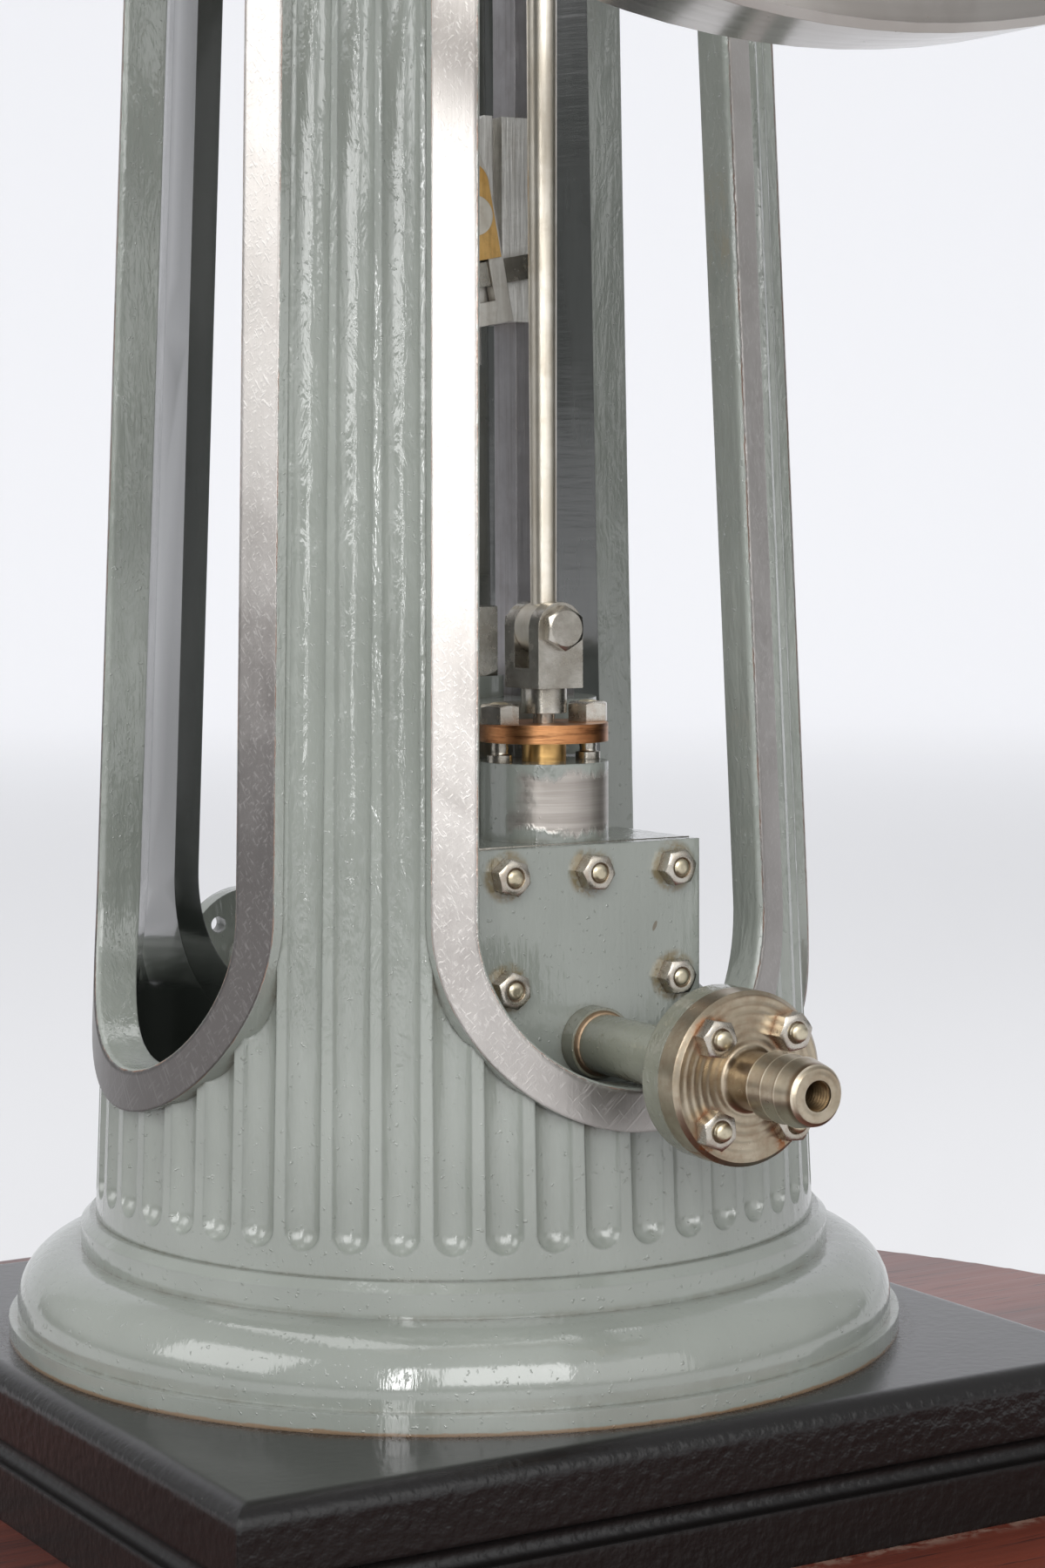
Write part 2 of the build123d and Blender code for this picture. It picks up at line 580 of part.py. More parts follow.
def crosshead():
    """Body and two grooved slippers in one, with channels for the bars, a saddle and a rod boss."""
    low = pin_z - CROSSHEAD_LOW
    high = pin_z + CROSSHEAD_HIGH
    front = CROSSHEAD_FRONT
    head = block(CROSSHEAD_HALF, -front, front, low, high)
    channel = block(bar_outer / 2, -BAR_DEPTH / 2 - SLIDE_FIT, BAR_DEPTH / 2 + SLIDE_FIT, low, high)
    groove = block(CROSSHEAD_GROOVE / 2, -front, CROSSHEAD_GROOVE_DEPTH - front, low, high)
    channel_x = BAR_INNER - SLIDE_FIT + bar_outer / 2
    groove_x = CROSSHEAD_BODY + CROSSHEAD_GROOVE / 2
    for side in (-1, 1):
        head -= Pos(side * channel_x, 0, 0) * channel
        head -= Pos(side * groove_x, 0, 0) * groove
        head -= Pos(side * groove_x, 0, 0) * mirror(groove, Plane.XZ)
    saddle = Polyline((0, -CROSSHEAD_SADDLE), (CROSSHEAD_SADDLE, 0), (-CROSSHEAD_SADDLE, 0), close=True)
    head -= Pos(0, 0, high) * extrude(make_face(Plane.XZ * saddle), amount=front, both=True)
    boss_z = low - CROSSHEAD_BOSS_HEIGHT
    head += drum(CROSSHEAD_BOSS_RADIUS, CROSSHEAD_BOSS_HEIGHT, boss_z)
    head -= drum(PISTON_ROD_RADIUS + RUNNING_FIT, CROSSHEAD_BOSS_HEIGHT, boss_z)
    return head - rod_along_y(CROSSHEAD_PIN_RADIUS + RUNNING_FIT, -front, front, 0, pin_z)


def crosshead_pin():
    """Pin of the crosshead, with a low round head at each end."""
    pin = rod_along_y(CROSSHEAD_PIN_RADIUS, -cheek_front, cheek_front, 0, pin_z)
    pin += rod_along_y(PIN_HEAD_RADIUS, -cheek_front - PIN_HEAD, -cheek_front, 0, pin_z)
    return pin + rod_along_y(PIN_HEAD_RADIUS, cheek_front, cheek_front + PIN_HEAD, 0, pin_z)


def small_end_cheeks():
    """Brass flanges on the outer faces of the fork, round over the pin and square below it."""
    hole = rod_along_y(CROSSHEAD_PIN_RADIUS + RUNNING_FIT, -cheek_front, cheek_front, 0, 0)
    round_z = CHEEK_RISE - CHEEK_HALF
    plate = block(CHEEK_HALF, -cheek_front, -arm_front, -CHEEK_DROP, round_z)
    plate += rod_along_y(CHEEK_HALF, -cheek_front, -arm_front, 0, round_z)
    front = on_rod(plate - hole)
    return Compound([front, mirror(front, Plane.XZ)])


def on_rod(part):
    """Places a part drawn along an upright rod from the crosshead pin at the rod's real tilt."""
    return Pos(0, 0, pin_z) * Rot(0, -rod_tilt, 0) * part


def rod_arm():
    """Front arm of the fork: a flat bar that widens to a box end with a window below the pin."""
    side = [
        (ROD_ARM_HALF, ROD_FORK),
        (ROD_ARM_HALF, ROD_END_RISE),
        (ROD_END_HALF, CHEEK_RISE - CHEEK_HALF),
        (ROD_END_HALF, -ROD_TAIL),
    ]
    other = [(-x, z) for x, z in reversed(side)]
    bar = extrude(make_face(Plane.XZ * Polyline(*side, *other, close=True)), ROD_ARM_DEPTH, TO_FRONT)
    window_low = ROD_END_BAR - ROD_TAIL
    window = block(ROD_WINDOW_HALF, -ROD_ARM_DEPTH, 0, window_low, -CHEEK_DROP)
    return Pos(0, -arm_back, 0) * (bar - window) - cotter(RUNNING_FIT)


def cotter(grow):
    """Front cotter as it lies across the arm, or the slot for it, a little grown."""
    middle = arm_back + ROD_ARM_DEPTH / 2
    half = COTTER_THICK / 2 + grow
    rise = COTTER_HEIGHT / 2 + grow
    return block(COTTER_HALF, -middle - half, half - middle, -COTTER_DROP - rise, rise - COTTER_DROP)


def small_end_cotters():
    """Flat cotters that hold the brasses in the two arms of the fork."""
    front = on_rod(cotter(0))
    return Compound([front, mirror(front, Plane.XZ)])


def connecting_rod():
    """Forked rod: two flat arms with box ends, a shoulder, a round shank and a crank pin block."""
    arm = rod_arm()
    rod = block(ROD_ARM_HALF, -arm_front, arm_front, ROD_FORK, ROD_FORK + ROD_SHOULDER)
    rod += arm
    rod += mirror(arm, Plane.XZ)
    low = rod_length - BIG_END_RADIUS
    high = rod_length + BIG_END_RADIUS
    shank_z = ROD_FORK + ROD_SHOULDER
    rod += drum(ROD_SHANK_RADIUS, low - shank_z, shank_z)
    rod += block(BIG_END_HALF, -big_end_half_depth, big_end_half_depth, low, high)
    eye = BIG_END_BRASS_RADIUS + RUNNING_FIT
    rod -= rod_along_y(eye, -big_end_half_depth, big_end_half_depth, 0, rod_length)
    rod -= rod_along_y(CROSSHEAD_PIN_RADIUS + RUNNING_FIT, -arm_front, arm_front, 0, 0)
    return on_rod(rod)


def big_end_brass():
    """Bush of the crank pin in the upper end of the rod."""
    bush = rod_along_y(BIG_END_BRASS_RADIUS, -big_end_half_depth, big_end_half_depth, 0, rod_length)
    hole = rod_along_y(CRANK_PIN_RADIUS + RUNNING_FIT, -big_end_half_depth, big_end_half_depth, 0, rod_length)
    return on_rod(bush - hole)


def crank_pin():
    """Crank pin, which ends just clear of the two discs."""
    reach = disc_back - SEAT_GAP
    return on_rod(rod_along_y(CRANK_PIN_RADIUS, -reach, reach, 0, rod_length))


def valve_chest():
    """Chest with the round stuffing box on top, bored for the spindle and the gland."""
    chest = block(CHEST_HALF, -chest_front, -chest_back, chest_z, chest_top_z)
    chest += drum(STUFFING_RADIUS, STUFFING_HEIGHT, chest_top_z, 0, -SPINDLE_OUT)
    reach = SPINDLE_REACH + STUFFING_HEIGHT
    chest -= drum(SPINDLE_RADIUS + RUNNING_FIT, reach, stuffing_top_z - reach, 0, -SPINDLE_OUT)
    box_z = stuffing_top_z - STUFFING_BORE_DEPTH
    return chest - drum(GLAND_SLEEVE_RADIUS + RUNNING_FIT, STUFFING_BORE_DEPTH, box_z, 0, -SPINDLE_OUT)


def chest_cover():
    """Flat cover on the front of the chest."""
    return block(CHEST_HALF, -cover_front, -chest_front, chest_z, chest_top_z)


def valve_gland():
    """Bronze gland: a round flange on a sleeve that reaches into the stuffing box."""
    sleeve_z = stuffing_top_z - STUFFING_BORE_DEPTH
    sleeve = drum(GLAND_SLEEVE_RADIUS, gland_z - sleeve_z, sleeve_z)
    flange = drum(GLAND_RADIUS, GLAND_THICK, gland_z)
    hole = drum(SPINDLE_RADIUS + RUNNING_FIT, gland_z + GLAND_THICK - sleeve_z, sleeve_z)
    return Pos(0, -SPINDLE_OUT, 0) * (sleeve + flange - hole)


def valve_spindle():
    """Valve spindle with the collar that locks the clevis."""
    low = chest_top_z - SPINDLE_REACH
    spindle = drum(SPINDLE_RADIUS, collar_z - low, low)
    return Pos(0, -SPINDLE_OUT, 0) * (spindle + drum(COLLAR_RADIUS, COLLAR_HEIGHT, collar_z))


def clevis_outline(z_low):
    """Square block with a round top about the bolt, drawn along Y through the whole clevis."""
    body = block(CLEVIS_HALF, -CLEVIS_DEPTH / 2, CLEVIS_DEPTH / 2, z_low, clevis_bolt_z)
    return body + rod_along_y(CLEVIS_HALF, -CLEVIS_DEPTH / 2, CLEVIS_DEPTH / 2, 0, clevis_bolt_z)


def spindle_clevis():
    """Forked end of the spindle."""
    slot_low = clevis_bolt_z - CLEVIS_SLOT_DEPTH
    slot_high = clevis_bolt_z + 2 * CLEVIS_HALF
    slot = block(2 * CLEVIS_HALF, -CLEVIS_SLOT / 2, CLEVIS_SLOT / 2, slot_low, slot_high)
    hole = rod_along_y(CLEVIS_BOLT_RADIUS + RUNNING_FIT, -CLEVIS_DEPTH, CLEVIS_DEPTH, 0, clevis_bolt_z)
    return Pos(0, -SPINDLE_OUT, 0) * (clevis_outline(clevis_z) - slot - hole)


def clevis_bolt():
    """Bolt of the clevis, with a hexagon at each end."""
    half = CLEVIS_DEPTH / 2
    bolt = rod_along_y(CLEVIS_BOLT_RADIUS, -half, half, 0, clevis_bolt_z)
    corner = CLEVIS_HEX / 2 / cos(pi / 6)
    end = CLEVIS_HEX / 2 - CLEVIS_HEX_BEVEL
    spread = end + CLEVIS_HEX_HEIGHT / tan(pi / 6)
    head = extrude(RegularPolygon(corner, 6, rotation=30), CLEVIS_HEX_HEIGHT)
    head &= Cone(spread, end, CLEVIS_HEX_HEIGHT, align=UPRIGHT)
    placed = facing_front(head, -half, clevis_bolt_z)
    bolt += placed
    bolt += mirror(placed, Plane.XZ)
    return Pos(0, -SPINDLE_OUT, 0) * bolt


def eccentric_rod():
    """Tapering round rod with an eye in the clevis and a flat palm under the strap."""
    eye_half = CLEVIS_SLOT / 2 - RUNNING_FIT
    eye = rod_along_y(CLEVIS_HALF, -eye_half, eye_half, 0, clevis_bolt_z)
    top = palm_z - ROD_PALM_HEIGHT
    stem = Cone(ECCENTRIC_ROD_LOW, ECCENTRIC_ROD_TOP, top - clevis_bolt_z, align=UPRIGHT)
    palm = block(STRAP_PALM_HALF, -STRAP_WIDTH / 2, STRAP_WIDTH / 2, top, palm_z)
    hole = rod_along_y(CLEVIS_BOLT_RADIUS + RUNNING_FIT, -eye_half, eye_half, 0, clevis_bolt_z)
    rod = eye + Pos(0, 0, clevis_bolt_z) * stem + palm
    return Pos(0, -SPINDLE_OUT, 0) * (rod - hole)


def facing_front(part, y, z):
    """Places a part drawn upright from the XY plane so that it points to the front from y."""
    return Pos(0, y, z) * Rot(90, 0, 0) * part


def steam_inlet():
    """Inlet: a collar on the chest, a pipe and a round flange with bolt holes."""
    length = INLET_FACE - cover_front
    pipe = Cylinder(PIPE_RADIUS, length, align=UPRIGHT)
    pipe += Cylinder(PIPE_COLLAR_RADIUS, PIPE_COLLAR_DEPTH, align=UPRIGHT)
    flange_at = Pos(0, 0, length - FLANGE_DEPTH)
    flange = Cylinder(INLET_FLANGE_RADIUS, FLANGE_DEPTH, align=UPRIGHT)
    holes = bolt_circle(FLANGE_HOLE_RADIUS, FLANGE_BOLT_COUNT, FLANGE_BOLT_CIRCLE, FLANGE_DEPTH)
    pipe += flange_at * (flange - holes)
    return facing_front(pipe - Cylinder(PIPE_BORE, length, align=UPRIGHT), -cover_front, pipe_z)


def hose_nozzle():
    """Nozzle with a bevelled flange, a coved root and a row of conical barbs, bored through."""
    face = NOZZLE_FLANGE_DEPTH
    tip = face + NOZZLE_LENGTH
    neck = tip - NOZZLE_TIP_BEVEL - NOZZLE_STEPS * NOZZLE_STEP
    barb = NOZZLE_TIP_RADIUS + NOZZLE_BARB
    cove_x = NOZZLE_ROOT_RADIUS + NOZZLE_COVE
    bow = NOZZLE_COVE * (1 - sin(pi / 4))
    bevel = [(INLET_FLANGE_RADIUS, face - FLANGE_BEVEL), (INLET_FLANGE_RADIUS - FLANGE_BEVEL, face)]
    cove_top = (NOZZLE_ROOT_RADIUS, face + NOZZLE_COVE)
    lines = Polyline((PIPE_BORE, 0), (INLET_FLANGE_RADIUS, 0), *bevel, (cove_x, face))
    lines += ThreePointArc((cove_x, face), (NOZZLE_ROOT_RADIUS + bow, face + bow), cove_top)
    profile = [cove_top, (NOZZLE_ROOT_RADIUS, neck)]
    for k in range(NOZZLE_STEPS):
        low = neck + k * NOZZLE_STEP
        profile += [(barb, low), (NOZZLE_TIP_RADIUS, low + NOZZLE_STEP)]
    profile += [(NOZZLE_TIP_RADIUS - NOZZLE_TIP_BEVEL, tip), (PIPE_BORE, tip), (PIPE_BORE, 0)]
    holes = bolt_circle(FLANGE_HOLE_RADIUS, FLANGE_BOLT_COUNT, FLANGE_BOLT_CIRCLE, face)
    return facing_front(turned(lines + Polyline(*profile)) - holes, -INLET_FACE, pipe_z)


def exhaust_pipe():
    """Exhaust behind the cylinder: a pipe and a flange with open bolt holes."""
    length = EXHAUST_FACE - CYLINDER_RADIUS
    pipe = Cylinder(PIPE_RADIUS, length, align=UPRIGHT)
    flange = Cylinder(EXHAUST_FLANGE_RADIUS, FLANGE_DEPTH, align=UPRIGHT)
    holes = bolt_circle(FLANGE_HOLE_RADIUS, FLANGE_BOLT_COUNT, FLANGE_BOLT_CIRCLE, FLANGE_DEPTH)
    pipe += Pos(0, 0, length - FLANGE_DEPTH) * (flange - holes)
    pipe -= Cylinder(PIPE_BORE, length, align=UPRIGHT)
    return Rot(0, 0, 180) * facing_front(pipe, -CYLINDER_RADIUS, pipe_z)


def crankshaft_front():
    """Front half of the shaft, from the crank disc through the bearing to the flywheel."""
    end = WHEEL_PLACE + HUB_WIDTH / 2 + SHAFT_NOSE
    return rod_along_y(SHAFT_RADIUS, -end, -disc_back, 0, shaft_z)


def crankshaft_rear():
    """Rear half of the shaft."""
    return rod_along_y(SHAFT_RADIUS, disc_back, SHAFT_REAR_END, 0, shaft_z)


def crank_disc(side):
    """Crank disc with a low hub on its outer face."""
    disc = Cylinder(DISC_RADIUS, DISC_WIDTH, align=UPRIGHT)
    disc += Cylinder(DISC_HUB_RADIUS, DISC_WIDTH + DISC_HUB_HEIGHT, align=UPRIGHT)
    disc -= Cylinder(SHAFT_RADIUS + RUNNING_FIT, DISC_WIDTH + DISC_HUB_HEIGHT, align=UPRIGHT)
    placed = facing_front(disc, -disc_back, shaft_z)
    return placed if side < 0 else Rot(0, 0, 180) * placed


def flywheel():
    """Flywheel: a square rim with eased edges, six oval tapering spokes and a hub."""
    inner = WHEEL_RADIUS - WHEEL_RIM_DEPTH
    half = WHEEL_WIDTH / 2
    rim = Cylinder(WHEEL_RADIUS, WHEEL_WIDTH)
    rim = chamfer(rim.edges().filter_by(GeomType.CIRCLE), WHEEL_EDGE)
    wheel = rim - Cylinder(inner, WHEEL_WIDTH)
    overlap = half / 2
    root = Plane.YZ.offset(HUB_RADIUS - overlap) * Ellipse(*SPOKE_ROOT)
    tip = Plane.YZ.offset(inner + overlap) * Ellipse(*SPOKE_TIP)
    spoke = loft([root, tip])
    for k in range(SPOKE_COUNT):
        wheel += Rot(0, 0, 360.0 * k / SPOKE_COUNT) * spoke
    wheel += Cylinder(HUB_RADIUS, HUB_WIDTH)
    wheel -= Cylinder(SHAFT_RADIUS + RUNNING_FIT, HUB_WIDTH)
    return facing_front(wheel, -WHEEL_PLACE, shaft_z)


def eccentric_sheave():
    """Round sheave, bored off its middle for the shaft. Its middle hangs below the shaft."""
    front = -SPINDLE_OUT - SHEAVE_WIDTH / 2
    back = -SPINDLE_OUT + SHEAVE_WIDTH / 2
    sheave = rod_along_y(SHEAVE_RADIUS, front, back, 0, strap_z)
    return sheave - rod_along_y(SHAFT_RADIUS + RUNNING_FIT, front, back, 0, shaft_z)


def strap_half(side):
    """Upper (+1) or lower (-1) half of the strap, with an ear for a bolt at each side."""
    front = -SPINDLE_OUT - STRAP_WIDTH / 2
    back = -SPINDLE_OUT + STRAP_WIDTH / 2
    low = strap_z if side > 0 else strap_z - STRAP_PALM_DROP
    high = strap_z + STRAP_PALM_DROP if side > 0 else strap_z
    ring = rod_along_y(STRAP_RADIUS, front, back, 0, strap_z)
    ear_low = strap_z if side > 0 else strap_z - STRAP_EAR_HEIGHT
    ears = block(STRAP_EAR_HALF, front, back, ear_low, ear_low + STRAP_EAR_HEIGHT)
    half = ring & block(STRAP_RADIUS, front, back, low, high)
    half += ears
    if side < 0:
        half += block(STRAP_PALM_HALF, front, back, low, strap_z)
    return half - rod_along_y(SHEAVE_RADIUS + RUNNING_FIT, front, back, 0, strap_z)


# Turn of each slot about the column's axis, from the front
SIDES = {"front": 0, "right": 90, "rear": 180, "left": -90}

pieces = {
    "baseboard": baseboard(),
    "plinth": plinth(),
    "column_foot": column_foot(),
    "fluted_column": fluted_column(),
    "capital": capital(),
    "top_plate": top_plate(),
    "front_bearing_pedestal": bearing_pedestal(-1),
    "rear_bearing_pedestal": bearing_pedestal(1),
    "front_bearing_cap": bearing_cap(-1),
    "rear_bearing_cap": bearing_cap(1),
    "bearing_brasses": bearing_brasses(),
    "cylinder": cylinder(),
    "cylinder_cover": cylinder_cover(),
    "piston_rod_gland": piston_rod_gland(),
    "piston_rod": piston_rod(),
    "guide_feet": guide_feet(),
    "guide_bars": guide_bars(),
    "guide_bridge": guide_bridge(),
    "crosshead": crosshead(),
    "crosshead_pin": crosshead_pin(),
    "small_end_cheeks": small_end_cheeks(),
    "small_end_cotters": small_end_cotters(),
    "connecting_rod": connecting_rod(),
    "big_end_brass": big_end_brass(),
    "crank_pin": crank_pin(),
    "valve_chest": valve_chest(),
    "chest_cover": chest_cover(),
    "valve_gland": valve_gland(),
    "valve_spindle": valve_spindle(),
    "spindle_clevis": spindle_clevis(),
    "clevis_bolt": clevis_bolt(),
    "eccentric_rod": eccentric_rod(),
    "steam_inlet": steam_inlet(),
    "hose_nozzle": hose_nozzle(),
    "exhaust_pipe": exhaust_pipe(),
    "crankshaft_front": crankshaft_front(),
    "crankshaft_rear": crankshaft_rear(),
    "front_crank_disc": crank_disc(-1),
    "rear_crank_disc": crank_disc(1),
    "flywheel": flywheel(),
    "eccentric_sheave": eccentric_sheave(),
    "upper_strap": strap_half(1),
    "lower_strap": strap_half(-1),
}
for side, turn in SIDES.items():
    pieces[f"{side}_slot_frame"] = slot_frame(turn)

os.makedirs("parts", exist_ok=True)
for name, piece in pieces.items():
    export_step(piece, f"parts/{name}.step")
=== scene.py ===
import json
import logging
import math
from dataclasses import dataclass, field
from enum import Enum
from typing import Any, Callable, Iterable

import bmesh
import bpy
from mathutils import Matrix, Vector


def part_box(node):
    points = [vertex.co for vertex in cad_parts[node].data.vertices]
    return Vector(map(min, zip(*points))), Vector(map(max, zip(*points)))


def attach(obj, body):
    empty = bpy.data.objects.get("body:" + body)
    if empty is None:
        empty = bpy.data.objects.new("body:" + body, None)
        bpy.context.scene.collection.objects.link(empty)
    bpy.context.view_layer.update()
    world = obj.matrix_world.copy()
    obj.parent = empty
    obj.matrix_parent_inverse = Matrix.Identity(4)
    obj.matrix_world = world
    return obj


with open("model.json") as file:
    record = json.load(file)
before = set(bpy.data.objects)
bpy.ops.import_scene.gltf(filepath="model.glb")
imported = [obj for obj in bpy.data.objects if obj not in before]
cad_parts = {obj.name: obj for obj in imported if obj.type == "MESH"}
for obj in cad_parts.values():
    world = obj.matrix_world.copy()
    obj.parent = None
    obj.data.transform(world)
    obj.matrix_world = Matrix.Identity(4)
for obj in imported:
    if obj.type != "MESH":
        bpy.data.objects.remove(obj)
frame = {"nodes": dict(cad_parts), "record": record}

log = logging.getLogger("column_engine")

MM = 0.001
Triple = tuple[float, float, float]
Colour = Triple
FACING_FRONT = Matrix.Rotation(math.radians(90), 4, "X")
SMOOTH_BELOW = math.radians(32)


class Body(Enum):
    """Bodies of the engine that carry fittings."""

    FRAME = "engine_frame"
    STRAP = "eccentric_strap"


class Value:
    """Output of a shader node. Arithmetic on it adds Math nodes."""

    def __init__(self, graph: "Tree", socket: bpy.types.NodeSocket) -> None:
        """Keeps the socket and the graph that it belongs to."""
        self.graph = graph
        self.socket = socket

    def _math(self, operation: str, first: Any, second: Any = 0.0) -> "Value":
        """Adds one Math node on two values."""
        return self.graph.node("Math", {"operation": operation}, {0: first, 1: second})

    def __add__(self, other: Any) -> "Value":
        """Sum."""
        return self._math("ADD", self, other)

    def __radd__(self, other: Any) -> "Value":
        """Sum, reflected."""
        return self._math("ADD", other, self)

    def __sub__(self, other: Any) -> "Value":
        """Difference."""
        return self._math("SUBTRACT", self, other)

    def __rsub__(self, other: Any) -> "Value":
        """Difference, reflected."""
        return self._math("SUBTRACT", other, self)

    def __mul__(self, other: Any) -> "Value":
        """Product."""
        return self._math("MULTIPLY", self, other)

    def __rmul__(self, other: Any) -> "Value":
        """Product, reflected."""
        return self._math("MULTIPLY", other, self)

    def __truediv__(self, other: Any) -> "Value":
        """Quotient."""
        return self._math("DIVIDE", self, other)

    def __abs__(self) -> "Value":
        """Size without sign."""
        return self._math("ABSOLUTE", self)

    def root(self) -> "Value":
        """Square root."""
        return self._math("SQRT", self)

    def sine(self) -> "Value":
        """Sine."""
        return self._math("SINE", self)

    def band(self, low: float, high: float) -> "Value":
        """Smooth step from 0 at low to 1 at high."""
        inputs = {"Value": self, "From Min": low, "From Max": high}
        return self.graph.node("MapRange", {"interpolation_type": "SMOOTHSTEP"}, inputs)

    def fade(self, low: float, high: float) -> "Value":
        """Smooth step from 1 at low to 0 at high."""
        return 1.0 - self.band(low, high)


class Tree:
    """Node tree of the world or a material, with the few nodes that they share."""

    def __init__(self, tree: bpy.types.NodeTree, place: str) -> None:
        """Empties a node tree and keeps the coordinates that its nodes use.

        Args:
            tree: Node tree of a material or the world.
            place: Output of Texture Coordinate that gives the coordinates.
        """
        self.tree = tree
        self.tree.nodes.clear()
        self.place = self.node("TexCoord", {}, {}, place)

    def new(self, kind: str, settings: dict[str, Any], inputs: dict[Any, Any]) -> bpy.types.Node:
        """Adds a shader node.

        Args:
            kind: Type of the node, without its ShaderNode prefix.
            settings: Properties of the node, set before its sockets.
            inputs: Numbers, colours or values by the socket's name or place.

        Returns:
            The node.
        """
        made = self.tree.nodes.new(f"ShaderNode{kind}")
        for key, setting in settings.items():
            setattr(made, key, setting)
        for key, given in inputs.items():
            self._feed(made.inputs[key], given)
        return made

    def node(
        self, kind: str, settings: dict[str, Any], inputs: dict[Any, Any], output: Any = 0,
    ) -> Value:
        """Adds a shader node and gives one of its outputs, by name or place."""
        return Value(self, self.new(kind, settings, inputs).outputs[output])

    def _feed(self, socket: bpy.types.NodeSocket, given: Any) -> None:
        """Links a value to a socket, or sets a constant on it."""
        if isinstance(given, Value):
            self.tree.links.new(given.socket, socket)
        elif isinstance(given, tuple) and socket.type == "RGBA":
            socket.default_value = (*given, 1.0)
        else:
            socket.default_value = given

    def _parts(self, vector: Value) -> tuple[Value, ...]:
        """The three parts of a vector."""
        return tuple(self.node("SeparateXYZ", {}, {0: vector}, k) for k in range(3))

    def axes(self) -> tuple[Value, ...]:
        """The three coordinates, in metres."""
        return self._parts(self.place)

    def noise(
        self, scale: Triple, detail: float = 3.0, rough: float = 0.55, warp: float = 0.0,
        turn: Triple = (0.0, 0.0, 0.0),
    ) -> Value:
        """Noise on the object coordinates.

        Args:
            scale: Cells to a metre along each axis.
            detail: Octaves.
            rough: Weight of the finer octaves.
            warp: Distortion.
            turn: Turn of the grain in radians.

        Returns:
            The noise, around 0.5.
        """
        point = {"vector_type": "POINT"}
        turned = self.node("Mapping", point, {"Vector": self.place, "Rotation": turn})
        where = self.node("Mapping", point, {"Vector": turned, "Scale": scale})
        inputs = {"Vector": where, "Scale": 1.0, "Detail": detail, "Roughness": rough}
        return self.node("TexNoise", {}, inputs | {"Distortion": warp})

    def even(
        self, cells: float, detail: float = 3.0, rough: float = 0.55, warp: float = 0.0,
    ) -> Value:
        """Noise with the same scale along all axes."""
        return self.noise((cells, cells, cells), detail, rough, warp)

    def mix(self, share: Any, first: Any, second: Any) -> Value:
        """Blend of two colours."""
        return self.node("Mix", {"data_type": "RGBA"}, {0: share, 6: first, 7: second}, 2)

    def facing(self) -> tuple[Value, ...]:
        """The three parts of the surface's normal in object coordinates."""
        return self._parts(self.node("TexCoord", {}, {}, "Normal"))

    def hollow(self, reach: float) -> Value:
        """1 deep in a corner or groove and 0 on open surfaces."""
        open_share = self.node("AmbientOcclusion", {"samples": 3}, {"Distance": reach}, 1)
        return 1.0 - open_share

    def largest(self, first: Value, second: Value) -> Value:
        """The larger of two values."""
        return self.node("Math", {"operation": "MAXIMUM"}, {0: first, 1: second})

    def reach(self, first: Value, second: Value) -> Value:
        """Length of two steps at right angles."""
        return (first * first + second * second).root()

    def part_of(self, value: Value, length: float) -> Value:
        """How far a value is through its repeat of that length, from 0 to 1."""
        return self.node("Math", {"operation": "FRACT"}, {0: value / length})


class Graph(Tree):
    """Node tree of one material with its shader."""

    def __init__(self, name: str) -> None:
        """Makes an empty material with a shader linked to its output.

        Args:
            name: Name of the material.
        """
        self.material = bpy.data.materials.new(name)
        self.material.use_nodes = True
        super().__init__(self.material.node_tree, "Object")
        self.shader = self.new("BsdfPrincipled", {}, {})
        self.new("OutputMaterial", {}, {0: Value(self, self.shader.outputs[0])})

    def set(self, **inputs: Any) -> None:
        """Feeds sockets of the shader, with underscores for the blanks in their names."""
        for key, given in inputs.items():
            self._feed(self.shader.inputs[key.replace("_", " ")], given)

    def bump(self, height: Value, distance: float, strength: float, round_edge: float) -> None:
        """Feeds the shader's normal from a height, over edges that look rounded.

        Args:
            height: Height of the surface, from 0 to about 1.
            distance: Depth of the height's full range.
            strength: Share of the bump.
            round_edge: Radius of the edges as they look.
        """
        eased = self.node("Bevel", {"samples": 2}, {"Radius": round_edge})
        inputs = {"Strength": strength, "Distance": distance, "Height": height, "Normal": eased}
        self.set(Normal=self.node("Bump", {}, inputs))


@dataclass
class Layer:
    """Values of one coat or metal, ready to be fed or blended with another."""

    colour: Value
    roughness: Value
    metallic: Any
    height: Value

    def over(self, graph: Graph, below: "Layer", share: Value) -> "Layer":
        """This layer over another one.

        Args:
            graph: Graph of the material.
            below: Layer that shows where the share is 0.
            share: How much of this layer covers the surface.

        Returns:
            The blended layer.
        """
        rest = 1.0 - share
        metallic = self.metallic
        if metallic != below.metallic:
            metallic = share * metallic + rest * below.metallic
        return Layer(
            graph.mix(share, below.colour, self.colour),
            self.roughness * share + below.roughness * rest,
            metallic,
            self.height * share + below.height * rest,
        )

    def feed(
        self, graph: Graph, distance: float, strength: float, round_edge: float = 0.15 * MM,
    ) -> bpy.types.Material:
        """Feeds the shader.

        Args:
            graph: Graph of the material.
            distance: Depth of the height's full range.
            strength: Share of the bump.
            round_edge: Radius of the edges as they look.

        Returns:
            The material.
        """
        graph.set(Base_Color=self.colour, Roughness=self.roughness, Metallic=self.metallic)
        graph.bump(self.height, distance, strength, round_edge)
        return graph.material


